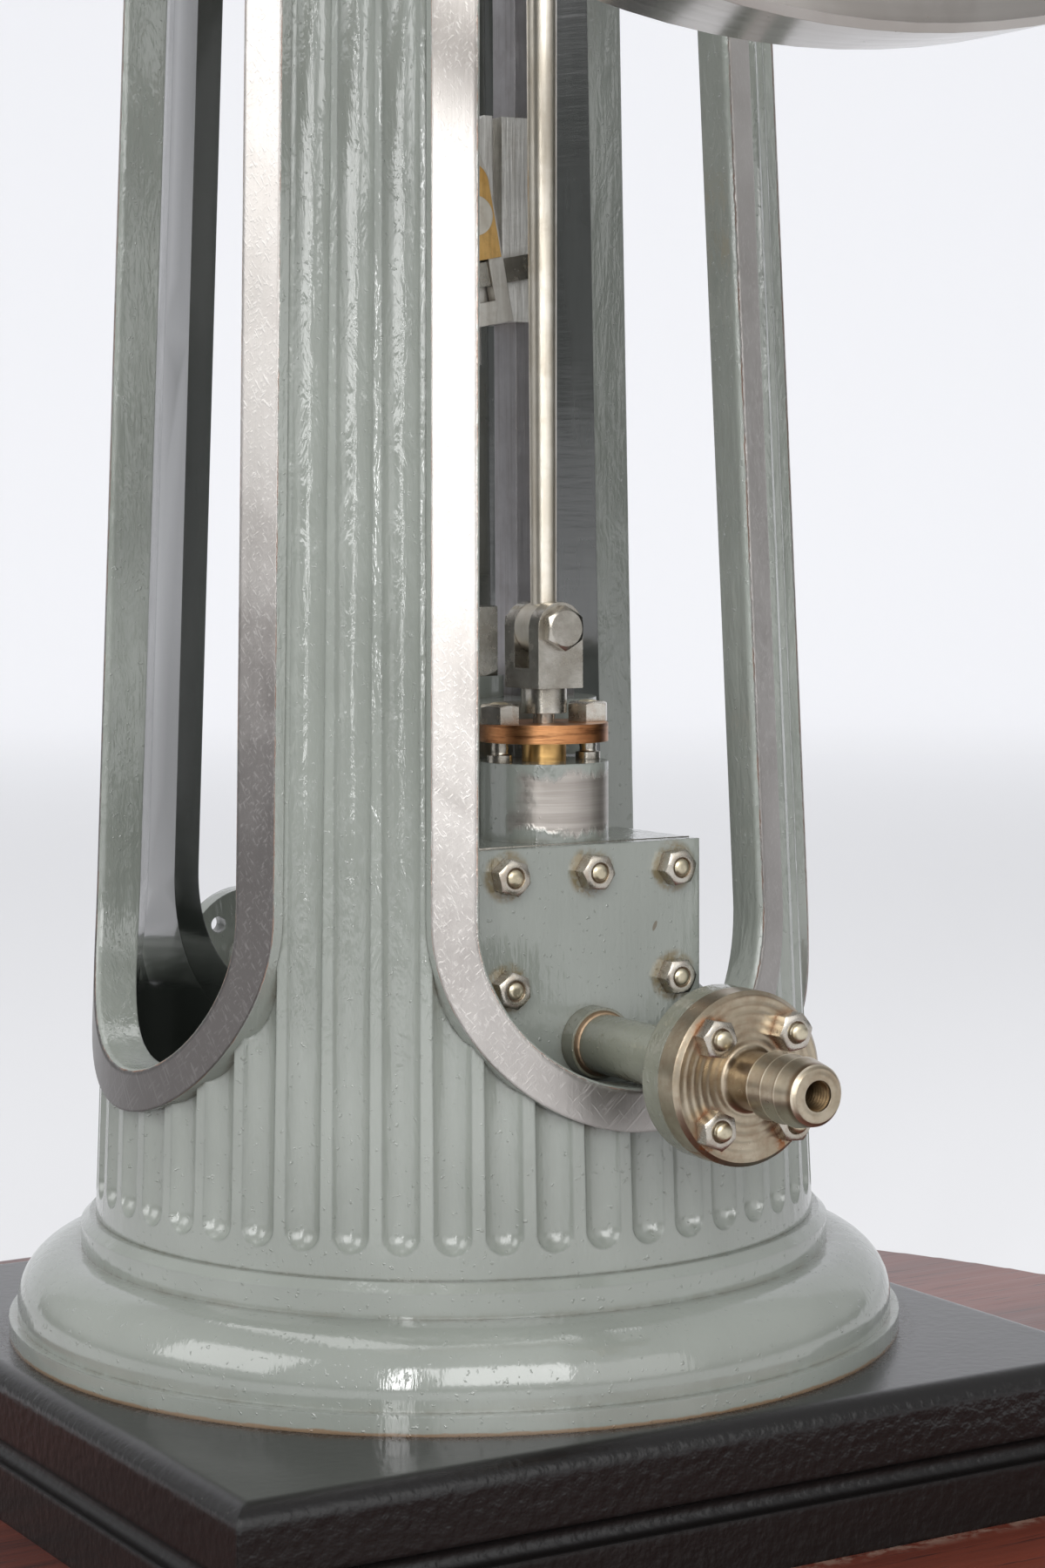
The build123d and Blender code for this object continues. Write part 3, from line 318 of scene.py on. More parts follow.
@dataclass(frozen=True)
class Shaft:
    """Taper of the column's shaft, which several finishes follow."""

    low_z: float = 56.8 * MM
    low_radius: float = 51.15 * MM
    taper: float = 0.04358
    frame_proud: float = 1.3 * MM

    def depth(self, graph: Graph, proud: float = 0.0) -> Value:
        """How far a point lies inside the shaft's surface, or a surface proud of it.

        Args:
            graph: Graph of the material.
            proud: How far that surface stands out of the shaft.

        Returns:
            The depth in metres.
        """
        x, y, z = graph.axes()
        at_zero = self.low_radius + proud + self.taper * self.low_z
        return at_zero - self.taper * z - graph.reach(x, y)

    def inward(self, graph: Graph) -> Value:
        """Finds the faces that look at the column's axis.

        Args:
            graph: Graph of the material.

        Returns:
            1 on those faces.
        """
        x, y, _ = graph.axes()
        nx, ny, _ = graph.facing()
        outward = (x * nx + y * ny) / graph.reach(x, y)
        return (0.0 - outward).band(0.60, 0.72)


@dataclass(frozen=True)
class Enamel:
    """Brushed-on gloss enamel with runs, nibs, and grime with painted shade in the corners."""

    colour: Colour = (0.268, 0.288, 0.260)
    shade: Colour = (0.212, 0.229, 0.204)
    # Brown for the grime and painted shade in corners, and for the nick.
    grime_and_shade: Colour = (0.105, 0.080, 0.046)
    rim: Colour = (0.200, 0.115, 0.055)
    bore: Colour = (0.034, 0.039, 0.034)
    bore_light: Colour = (0.058, 0.064, 0.058)
    steel: Colour = (0.330, 0.292, 0.262)
    steel_light: Colour = (0.500, 0.455, 0.420)
    oil: Colour = (0.150, 0.118, 0.058)
    grime_shade_reach: float = 2.2 * MM
    rim_z: float = 40.0 * MM
    smooth_to: float = 56.0 * MM
    lumpy_from: float = 60.0 * MM
    lumpiest_at: float = 110.0 * MM
    inner_radius: float = 38.0 * MM
    outer_radius: float = 41.0 * MM
    lump: float = 0.34 * MM
    lump_share: float = 0.8
    round_edge: float = 0.45 * MM
    nut_column: float = 13.0 * MM
    nut_row: float = 92.6 * MM
    nut_rise: float = 14.8 * MM
    shaft: Shaft = Shaft()

    def layer(self, graph: Graph) -> Layer:
        """Colour, gloss and height of the paint, smooth on the foot and lumpy on the shaft, with
        grime and painted shade in its corners.

        Args:
            graph: Graph of the material.

        Returns:
            The paint.
        """
        cloud = graph.even(24.0, 3.0)
        streak = graph.noise((420.0, 420.0, 22.0), 3.0, 0.6)
        ripple = graph.noise((330.0, 330.0, 120.0), 4.0, 0.6, 0.5)
        nib = graph.even(1300.0, 2.0).band(0.64, 0.76)
        body = graph.mix(cloud.band(0.34, 0.68), self.shade, self.colour)
        # Ambient occlusion finds the corners, which get brown grime and painted shade.
        corner = graph.hollow(self.grime_shade_reach)
        patch = graph.even(190.0, 4.0, 0.7)
        dirt_and_shade = corner.band(0.26, 0.80) * patch.band(0.36, 0.62)
        x, y, z = graph.axes()
        outside = graph.reach(x, y).band(self.inner_radius, self.outer_radius)
        above_foot = z.band(self.smooth_to, self.lumpy_from)
        lively = 0.40 + 0.50 * above_foot + 0.80 * z.band(self.lumpy_from, self.lumpiest_at) * outside
        edge = (z + patch * (0.9 * MM)).fade(self.rim_z + 0.75 * MM, self.rim_z + 1.05 * MM)
        colour = graph.mix(dirt_and_shade * 0.78, body, self.grime_and_shade)
        colour = graph.mix(edge * 0.8, colour, self.rim)
        rough = 0.06 + 0.05 * streak + 0.20 * dirt_and_shade
        graph.set(Specular_IOR_Level=0.9)
        return Layer(colour, rough, 0.0, (0.40 * streak + 0.60 * ripple) * lively + 0.25 * nib)

    def hollow_layer(self, graph: Graph) -> Layer:
        """Dark gloss inside the column.

        Args:
            graph: Graph of the material.

        Returns:
            The gloss.
        """
        smear = graph.noise((90.0, 90.0, 18.0), 4.0, 0.65)
        turned = graph.noise((60.0, 60.0, 500.0), 3.0, 0.6)
        colour = graph.mix(smear.band(0.34, 0.70), self.bore, self.bore_light)
        return Layer(colour, 0.10 + 0.14 * smear, 0.0, 0.16 * turned)

    def with_bore(self, graph: Graph) -> Layer:
        """Paint that turns to a dark gloss on the faces that look at the column's axis.

        Args:
            graph: Graph of the material.

        Returns:
            The two paints together.
        """
        inward = self.shaft.inward(graph)
        graph.set(Coat_Weight=inward, Coat_IOR=1.65, Coat_Roughness=0.07)
        return self.hollow_layer(graph).over(graph, self.layer(graph), inward)

    def bare_layer(self, graph: Graph) -> Layer:
        """Metal where the paint has worn off.

        Args:
            graph: Graph of the material.

        Returns:
            The metal.
        """
        brushed = graph.noise((45.0, 45.0, 1700.0), 3.0, 0.65)
        colour = graph.mix(brushed.band(0.30, 0.80), self.steel, self.steel_light)
        return Layer(colour, 0.30 + 0.12 * brushed, 0.85, 0.05 * brushed)

    def finish(self, graph: Graph, layer: Layer) -> bpy.types.Material:
        """Feeds a layer with the paint's own lumps and rounded edges."""
        return layer.feed(graph, self.lump, self.lump_share, self.round_edge)

    def plain(self, name: str) -> bpy.types.Material:
        """Paint all over."""
        graph = Graph(name)
        return self.finish(graph, self.layer(graph))

    def lined(self, name: str) -> bpy.types.Material:
        """Paint outside and dark gloss on the faces that look at the column's axis."""
        graph = Graph(name)
        return self.finish(graph, self.with_bore(graph))

    def _to_nuts(self, graph: Graph, x: Value, z: Value) -> Value:
        """Distance to the nearest nut of the chest's cover.

        Args:
            graph: Graph of the material.
            x: Place across the cover.
            z: Height.

        Returns:
            The distance in metres.
        """
        across = abs(x) - self.nut_column
        up = abs(abs(z - self.nut_row) - 0.5 * self.nut_rise) - 0.5 * self.nut_rise
        over = z - (self.nut_row + self.nut_rise)
        outer = graph.reach(across, up)
        inner = graph.reach(x, over)
        return 0.0 - graph.largest(0.0 - outer, 0.0 - inner)

    def nicked(self, name: str, nick_x: float, nick_z: float) -> bpy.types.Material:
        """Paint with one small, brown nick and grime round the chest's nuts.

        Args:
            name: Name of the material.
            nick_x: Place of the nick across the face.
            nick_z: Height of the nick.

        Returns:
            The material.
        """
        graph = Graph(name)
        x, _, z = graph.axes()
        across = (x - nick_x) * 2.4 - (z - nick_z) * 0.9
        up = z - nick_z
        ragged = graph.even(900.0, 2.0) * (0.5 * MM)
        nick = (graph.reach(across, up) + ragged).fade(0.85 * MM, 1.10 * MM)
        coat = self.layer(graph)
        blot = graph.even(420.0, 4.0, 0.7)
        ring = (self._to_nuts(graph, x, z) - blot * (0.9 * MM)).fade(2.3 * MM, 3.4 * MM)
        coat.colour = graph.mix(ring * blot.band(0.32, 0.56) * 0.9, coat.colour, self.oil)
        coat.colour = graph.mix(nick * 0.85, coat.colour, self.grime_and_shade)
        return self.finish(graph, coat)

    def worn(self, name: str, low: float, high: float) -> bpy.types.Material:
        """Paint with a worn patch between two heights.

        Args:
            name: Name of the material.
            low: Lower end of the patch.
            high: Upper end of the patch.

        Returns:
            The material.
        """
        graph = Graph(name)
        x, _, z = graph.axes()
        ragged = z + (graph.noise((260.0, 260.0, 120.0), 4.0, 0.65) - 0.5) * (5.0 * MM)
        rubbed = ragged.band(low, low + 1.2 * MM) * ragged.fade(high - 1.4 * MM, high)
        side = (x + (graph.even(200.0) - 0.5) * (6.0 * MM)).band(-8.0 * MM, -5.5 * MM)
        worn = self.bare_layer(graph).over(graph, self.layer(graph), rubbed * side * 0.85)
        return self.finish(graph, worn)


@dataclass(frozen=True)
class FrameFace:
    """Bare linished steel on the outer face of a slot frame and paint on its reveals."""

    paint: Enamel
    name: str = "linished_frame"
    steel: Colour = (0.630, 0.600, 0.570)
    dull: Colour = (0.530, 0.498, 0.468)
    fine: Colour = (0.800, 0.785, 0.765)
    rust: Colour = (0.330, 0.165, 0.100)
    edge: float = 0.20 * MM
    across: float = 3000.0
    along: float = 26.0
    slopes: tuple[float, float] = (0.75, -0.95)
    sideways: bool = False
    # Grey painted shade low on the face: its colour, its strength and the heights it spans.
    grey: Colour = (0.112, 0.103, 0.100)
    low_shade: float = 0.0
    low_shade_from: float = 120.0 * MM
    low_shade_to: float = 186.0 * MM

    def _scratches(self, graph: Graph, slope: float) -> Value:
        """Fine straight scratches in the face's plane.

        Args:
            graph: Graph of the material.
            slope: Angle to the level in radians.

        Returns:
            1 on a scratch.
        """
        scale, turn = (self.along, self.across, self.across), (0.0, slope, 0.0)
        if self.sideways:
            scale, turn = (self.across, self.along, self.across), (slope, 0.0, 0.0)
        return graph.noise(scale, 2.0, 0.5, 0.0, turn).band(0.56, 0.74)

    def _steel(self, graph: Graph) -> Layer:
        """Linished steel with fine lines along the frame, loose scratches over them, and painted
        shade towards its bottom.

        Args:
            graph: Graph of the material.

        Returns:
            The steel.
        """
        brushed = graph.noise((1300.0, 1300.0, 30.0), 4.0, 0.65, 0.1)
        swirl = graph.even(46.0, 4.0, 0.6, 1.0)
        scratch = graph.largest(*(self._scratches(graph, slope) for slope in self.slopes))
        colour = graph.mix(swirl.band(0.30, 0.70), self.dull, self.steel)
        _, _, z = graph.axes()
        # Painted shade: the face turns grey towards its bottom, standing in for a darker reflection
        # there.
        dark = (z + swirl * (24.0 * MM)).fade(self.low_shade_from, self.low_shade_to) * self.low_shade
        colour = graph.mix(dark, colour, self.grey)
        colour = graph.mix(scratch * (0.22 - 0.15 * dark), colour, self.fine)
        rough = 0.24 + 0.12 * brushed + 0.08 * swirl + 0.05 * scratch
        return Layer(colour, rough, 0.96, 0.09 * brushed + 0.04 * scratch)

    def make(self) -> bpy.types.Material:
        """The finish as a material.

        Returns:
            The material.
        """
        graph = Graph(self.name)
        shaft = self.paint.shaft
        ragged = graph.even(800.0, 3.0, 0.7) * (0.22 * MM)
        bare = (shaft.depth(graph, shaft.frame_proud) + ragged).fade(self.edge, 2.0 * self.edge)
        line = bare * (1.0 - bare) * 4.0 * graph.even(260.0, 3.0).band(0.40, 0.60)
        mixed = self._steel(graph).over(graph, self.paint.with_bore(graph), bare)
        mixed.colour = graph.mix(line * 0.8, mixed.colour, self.rust)
        return self.paint.finish(graph, mixed)


@dataclass(frozen=True)
class Lacquer:
    """Black satin lacquer on wood, with orange peel, dust and chipped edges."""

    name: str = "black_lacquer"
    black: Colour = (0.0050, 0.0042, 0.0040)
    dust: Colour = (0.150, 0.135, 0.120)
    chip: Colour = (0.46, 0.42, 0.38)
    half: float = 68.5 * MM
    top: float = 40.0 * MM
    foot: float = 63.5 * MM
    lump: float = 0.22 * MM
    lump_share: float = 0.65
    round_edge: float = 1.0 * MM

    def make(self) -> bpy.types.Material:
        """The finish as a material.

        Returns:
            The material.
        """
        graph = Graph(self.name)
        x, y, z = graph.axes()
        reach = graph.largest(abs(x), abs(y))
        corner = self.half + self.top
        near_edge = (reach + z).band(corner - 2.4 * MM, corner - 1.5 * MM)
        peel = graph.even(680.0, 2.0, 0.5)
        speck = graph.even(1100.0, 3.0, 0.7)
        patch = graph.even(46.0, 3.0, 0.6)
        chips = near_edge * speck.band(0.68, 0.72) * patch.band(0.50, 0.60)
        near_foot = abs(graph.reach(x, y) - self.foot).fade(0.8 * MM, 3.2 * MM)
        specks = speck.band(0.68, 0.80) * patch.band(0.46, 0.62)
        dusting = graph.largest(specks, near_foot * speck.band(0.42, 0.62))
        colour = graph.mix(dusting * 0.22, self.black, self.dust)
        colour = graph.mix(chips, colour, self.chip)
        rough = 0.15 + 0.10 * patch + 0.35 * chips + 0.12 * dusting
        _, _, up = graph.facing()
        lumps = peel * (1.0 - 0.80 * up.band(0.4, 0.9))
        coat = Layer(colour, rough, 0.0, lumps)
        return coat.feed(graph, self.lump, self.lump_share, self.round_edge)


@dataclass(frozen=True)
class Mahogany:
    """Varnished mahogany with grain along X."""

    name: str = "mahogany"
    dark: Colour = (0.042, 0.0070, 0.0036)
    light: Colour = (0.150, 0.028, 0.0120)
    pore: Colour = (0.016, 0.004, 0.003)
    dust: Colour = (0.260, 0.170, 0.130)
    plinth_half: float = 68.0 * MM
    grain: float = 0.08 * MM
    grain_share: float = 0.45
    round_edge: float = 0.4 * MM

    def make(self) -> bpy.types.Material:
        """The finish as a material.

        Returns:
            The material.
        """
        graph = Graph(self.name)
        x, y, _ = graph.axes()
        figure = graph.noise((3.0, 26.0, 26.0), 4.0, 0.55, 0.6)
        fibre = graph.noise((26.0, 620.0, 620.0), 3.0, 0.6)
        pores = graph.noise((60.0, 1500.0, 1500.0), 2.0, 0.5).band(0.60, 0.68)
        past = abs(y) - self.plinth_half
        strip = past.band(-1.0 * MM, 0.0) * past.fade(1.0 * MM, 4.0 * MM)
        near_plinth = strip * (abs(x) - self.plinth_half).fade(2.0 * MM, 10.0 * MM)
        dusty = near_plinth * graph.even(420.0, 4.0, 0.7).band(0.42, 0.62)
        colour = graph.mix(figure.band(0.30, 0.72), self.dark, self.light)
        colour = graph.mix(fibre.band(0.40, 0.75) * 0.4, colour, self.light)
        colour = graph.mix(pores * 0.7, colour, self.pore)
        colour = graph.mix(dusty * 0.7, colour, self.dust)
        graph.set(Coat_Weight=0.22, Coat_Roughness=0.14)
        varnish = Layer(colour, 0.30 + 0.16 * fibre, 0.0, fibre - 0.8 * pores)
        return varnish.feed(graph, self.grain, self.grain_share, self.round_edge)


@dataclass(frozen=True)
class Metal:
    """Machined metal with tool marks, tarnished patches and stains, and grime with painted shade in
    its corners.
    """

    name: str
    bright: Colour
    dull: Colour
    stain: Colour
    marks: Triple = (500.0, 500.0, 500.0)
    roughness: float = 0.24
    mark_depth: float = 0.04 * MM
    mark_share: float = 0.6
    mark_shade: float = 0.25
    stained: float = 0.5
    corner_shade_reach: float = 1.5 * MM

    def layer(self, graph: Graph) -> Layer:
        """Colour, gloss and height of the metal.

        Args:
            graph: Graph of the material.

        Returns:
            The metal.
        """
        marks = graph.noise(self.marks, 3.0, 0.65)
        cloud = graph.even(130.0, 4.0, 0.65)
        # Ambient occlusion finds the corners, which take the stain colour as grime and painted shade,
        # and turn less metallic.
        corner = graph.hollow(self.corner_shade_reach).band(0.22, 0.78)
        stain = graph.even(330.0, 4.0, 0.7).band(0.50, 0.68) * self.stained
        colour = graph.mix(cloud.band(0.34, 0.66), self.dull, self.bright)
        colour = graph.mix(marks.band(0.46, 0.70) * self.mark_shade, colour, self.stain)
        colour = graph.mix(corner * 0.70 + stain * 0.35, colour, self.stain)
        rough = self.roughness + 0.16 * marks + 0.16 * stain
        return Layer(colour, rough, 1.0 - 0.4 * corner, marks)

    def make(self) -> bpy.types.Material:
        """The finish as a material."""
        graph = Graph(self.name)
        return self.layer(graph).feed(graph, self.mark_depth, self.mark_share)


@dataclass(frozen=True)
class TurnedNickel(Metal):
    """Nickel turned about the inlet's axis, rusty under its nuts, with dirt and painted shade behind
    its barbs and a painted highlight on each barb's edge.
    """

    mark_depth: float = 0.10 * MM
    axis_z: float = 84.75 * MM
    nut_place: float = 5.66 * MM
    barb: float = 2.8 * MM
    first_barb: float = 87.4 * MM
    barrel: float = 4.5 * MM
    neck: float = 78.4 * MM
    ring: float = 1.122 * MM
    rust: Colour = (0.300, 0.110, 0.036)
    # Dirt with painted shade behind the barbs, and dirt in the flange's turning lines.
    dirt_and_shade: Colour = (0.150, 0.085, 0.040)
    # Colour of the painted highlight on each barb's sharp edge.
    edge: Colour = (0.780, 0.700, 0.560)

    def _rust(self, graph: Graph, x: Value, height: Value) -> Value:
        """Rust round the nuts and below them.

        Args:
            graph: Graph of the material.
            x: Place across the flange.
            height: Height over the flange's middle.

        Returns:
            How rusty the surface is.
        """
        off_x = abs(x) - self.nut_place
        off_z = abs(height) - self.nut_place
        ragged = graph.even(620.0, 4.0, 0.7) * (1.5 * MM)
        halo = (graph.reach(off_x, off_z) + ragged).fade(2.9 * MM, 3.8 * MM)
        below = (0.0 - height).band(4.0 * MM, 8.5 * MM)
        run = (abs(off_x) + ragged).fade(1.4 * MM, 3.0 * MM) * below
        spots = graph.even(520.0, 4.0, 0.7).band(0.46, 0.60)
        return halo * (0.30 + 0.70 * spots) + run * spots * 0.9

    def layer(self, graph: Graph) -> Layer:
        """Colour, gloss and height of the metal.

        Args:
            graph: Graph of the material.

        Returns:
            The metal.
        """
        plate = super().layer(graph)
        x, y, z = graph.axes()
        height = z - self.axis_z
        radius = graph.reach(x, height)
        rings = (radius * (math.tau / self.ring)).sine() * 0.5 + 0.5
        narrow = radius.fade(self.barrel, self.barrel + 0.2 * MM)
        on_barrel = narrow * (0.0 - y).band(self.neck, self.neck + 0.2 * MM)
        through = graph.part_of(y + self.first_barb + self.barb, self.barb)
        # Behind each barb's step: dirt with painted shade.
        behind = through.fade(0.10, 0.34) * on_barrel
        # Painted highlight along each barb's sharp edge.
        front = through.band(0.90, 0.96) * on_barrel
        on_flange = 1.0 - on_barrel
        rusty = self._rust(graph, x, height) * on_flange
        plate.colour = graph.mix(rusty * 0.8, plate.colour, self.rust)
        plate.colour = graph.mix(behind * 0.75, plate.colour, self.dirt_and_shade)
        plate.colour = graph.mix(front * 0.6, plate.colour, self.edge)
        plate.roughness = plate.roughness + 0.25 * rusty
        grooves = rings.band(0.70, 1.0) * graph.even(150.0, 3.0).band(0.36, 0.60) * on_flange
        plate.colour = graph.mix(grooves * 0.35, plate.colour, self.dirt_and_shade)
        plate.height = 0.7 * rings + 0.3 * plate.height
        return plate


@dataclass(frozen=True)
class GlandBronze(Metal):
    """Bronze gland: a streaked, coppery flange over a golden sleeve."""

    mark_depth: float = 0.10 * MM
    flange_z: float = 124.2 * MM
    gold: Colour = (0.700, 0.450, 0.170)
    brown: Colour = (0.150, 0.058, 0.024)

    def layer(self, graph: Graph) -> Layer:
        """Colour, gloss and height of the metal.

        Args:
            graph: Graph of the material.

        Returns:
            The metal.
        """
        bronze = super().layer(graph)
        _, _, z = graph.axes()
        flange = z.band(self.flange_z - 0.1 * MM, self.flange_z + 0.1 * MM)
        streak = graph.noise((110.0, 110.0, 1500.0), 4.0, 0.7).band(0.48, 0.64)
        bronze.colour = graph.mix(streak * flange * 0.8, bronze.colour, self.brown)
        bronze.colour = graph.mix((1.0 - flange) * 0.85, bronze.colour, self.gold)
        return bronze


@dataclass(frozen=True)
class TurnedIron:
    """Polished iron of the flywheel with turning lines."""

    name: str = "turned_iron"
    bright: Colour = (0.480, 0.455, 0.430)
    warm: Colour = (0.370, 0.325, 0.285)
    stain: Colour = (0.150, 0.110, 0.080)
    axis_z: float = 336.2 * MM
    lines: float = 700.0
    line_depth: float = 0.03 * MM
    line_share: float = 0.35

    def make(self) -> bpy.types.Material:
        """The finish as a material.

        Returns:
            The material.
        """
        graph = Graph(self.name)
        x, y, z = graph.axes()
        height = z - self.axis_z
        radius = graph.reach(x, height)
        lines = graph.node("CombineXYZ", {}, {0: radius * self.lines, 1: y * self.lines, 2: 0.0})
        inputs = {"Vector": lines, "Scale": 1.0, "Detail": 4.0, "Roughness": 0.6}
        turned = graph.node("TexNoise", {}, inputs)
        broad = graph.node("TexNoise", {}, {"Vector": lines, "Scale": 0.06, "Detail": 2.0})
        speck = graph.even(500.0, 3.0, 0.7).band(0.68, 0.76)
        smear = graph.even(40.0, 4.0, 0.6, 0.8).band(0.50, 0.72)
        colour = graph.mix(broad.band(0.30, 0.70), self.warm, self.bright)
        colour = graph.mix(speck * 0.5 + smear * 0.25, colour, self.stain)
        rough = 0.10 + 0.16 * turned + 0.2 * speck
        return Layer(colour, rough, 1.0, turned).feed(graph, self.line_depth, self.line_share)


class Palette:
    """All finishes of the engine, made once."""

    def __init__(self) -> None:
        """Makes the materials."""
        paint = Enamel()
        self.paint = paint.plain("grey_enamel")
        grimy = Enamel(colour=(0.205, 0.212, 0.168), shade=(0.120, 0.118, 0.084))
        self.grimy = grimy.plain("grimy_enamel")
        self.column = paint.lined("column_enamel")
        self.chest = paint.worn("chest_enamel", 112.0 * MM, 121.0 * MM)
        self.cover = paint.nicked("cover_enamel", 10.1 * MM, 99.5 * MM)
        self.frame_face = FrameFace(paint).make()
        # The front and left frames get painted shade low on their faces.
        self.front_frame = FrameFace(
            paint, "front_frame", low_shade=0.40, low_shade_from=105.0 * MM, low_shade_to=165.0 * MM,
        ).make()
        self.left_frame = FrameFace(paint, "low_shaded_frame", sideways=True, low_shade=0.90).make()
        self.right_frame = FrameFace(paint, "right_frame", sideways=True).make()
        self.lacquer = Lacquer().make()
        self.mahogany = Mahogany().make()
        self.bronze = GlandBronze(
            "gland_bronze", (0.560, 0.275, 0.120), (0.400, 0.165, 0.066), (0.110, 0.060, 0.030),
            marks=(60.0, 60.0, 1500.0), roughness=0.26,
        ).make()
        self.brass = Metal(
            "golden_brass", (0.780, 0.500, 0.190), (0.640, 0.370, 0.110), (0.240, 0.130, 0.045),
            marks=(1500.0, 1500.0, 200.0), roughness=0.36,
        ).make()
        self.nickel = TurnedNickel(
            "dull_nickel", (0.470, 0.408, 0.312), (0.350, 0.292, 0.210), (0.200, 0.105, 0.052),
            roughness=0.22, stained=0.6,
        ).make()
        self.nut = Metal(
            "nut_steel", (0.560, 0.530, 0.475), (0.420, 0.385, 0.325), (0.240, 0.125, 0.055),
            marks=(900.0, 900.0, 900.0), roughness=0.18, corner_shade_reach=1.0 * MM,
        ).make()
        self.rod = Metal(
            "drawn_rod", (0.740, 0.700, 0.620), (0.610, 0.560, 0.470), (0.240, 0.175, 0.100),
            marks=(700.0, 700.0, 60.0), roughness=0.28, stained=0.40,
        ).make()
        self.milled = Metal(
            "milled_steel", (0.860, 0.850, 0.810), (0.740, 0.730, 0.690), (0.240, 0.205, 0.165),
            marks=(1700.0, 1700.0, 90.0), roughness=0.38, mark_depth=0.10 * MM, mark_shade=0.35,
        ).make()
        self.bar = Metal(
            "ground_bar", (0.600, 0.580, 0.595), (0.500, 0.480, 0.490), (0.170, 0.130, 0.100),
            marks=(900.0, 900.0, 40.0), roughness=0.24, stained=0.3,
        ).make()
        self.forged = Metal(
            "forged_rod", (0.780, 0.760, 0.705), (0.640, 0.615, 0.560), (0.220, 0.165, 0.110),
            marks=(520.0, 520.0, 60.0), roughness=0.28, mark_depth=0.06 * MM,
        ).make()
        self.oily = Metal(
            "oily_steel", (0.540, 0.515, 0.460), (0.370, 0.345, 0.295), (0.095, 0.068, 0.042),
            marks=(420.0, 420.0, 420.0), roughness=0.15, stained=0.7,
        ).make()
        self.iron = TurnedIron().make()
        self.stud = Metal(
            "stud_end", (0.640, 0.580, 0.440), (0.500, 0.440, 0.310), (0.130, 0.092, 0.050),
            marks=(800.0, 800.0, 800.0), roughness=0.22, corner_shade_reach=0.6 * MM,
        ).make()
        self.copper = Metal(
            "solder_ring", (0.520, 0.360, 0.240), (0.360, 0.250, 0.160), (0.140, 0.160, 0.110),
            marks=(600.0, 600.0, 600.0), roughness=0.42, mark_depth=0.2 * MM,
        ).make()
        self.thread = Metal(
            "brown_thread", (0.260, 0.180, 0.095), (0.150, 0.098, 0.050), (0.050, 0.030, 0.018),
            marks=(900.0, 900.0, 900.0), roughness=0.26,
        ).make()

    def for_slots(self) -> dict[str, bpy.types.Material]:
        """Materials of the record's slots.

        Returns:
            Materials by slot.
        """
        return {
            "column_paint": self.paint,
            "frame_steel": self.frame_face,
            "board_mahogany": self.mahogany,
            "plinth_black": self.lacquer,
            "gland_bronze": self.bronze,
            "nozzle_nickel": self.nickel,
            "wheel_steel": self.iron,
            "bright_steel": self.rod,
        }

    def for_nodes(self) -> dict[str, bpy.types.Material]:
        """Materials of single nodes that differ from their slot's.

        Returns:
            Materials by node.
        """
        nodes = {
            "small_end_cheeks": self.brass,
            "crosshead": self.milled,
            "guide_bars": self.bar,
            "guide_bridge": self.bar,
            "guide_feet": self.bar,
            "connecting_rod": self.forged,
            "piston_rod_gland": self.oily,
            "small_end_cotters": self.oily,
            "spindle_clevis": self.oily,
            "clevis_bolt": self.oily,
            "valve_spindle": self.oily,
            "valve_chest": self.chest,
            "chest_cover": self.cover,
            "steam_inlet": self.grimy,
            "front_slot_frame": self.front_frame,
            "left_slot_frame": self.left_frame,
            "right_slot_frame": self.right_frame,
        }
        nodes.update(dict.fromkeys(("fluted_column", "column_foot", "capital"), self.column))
        return nodes


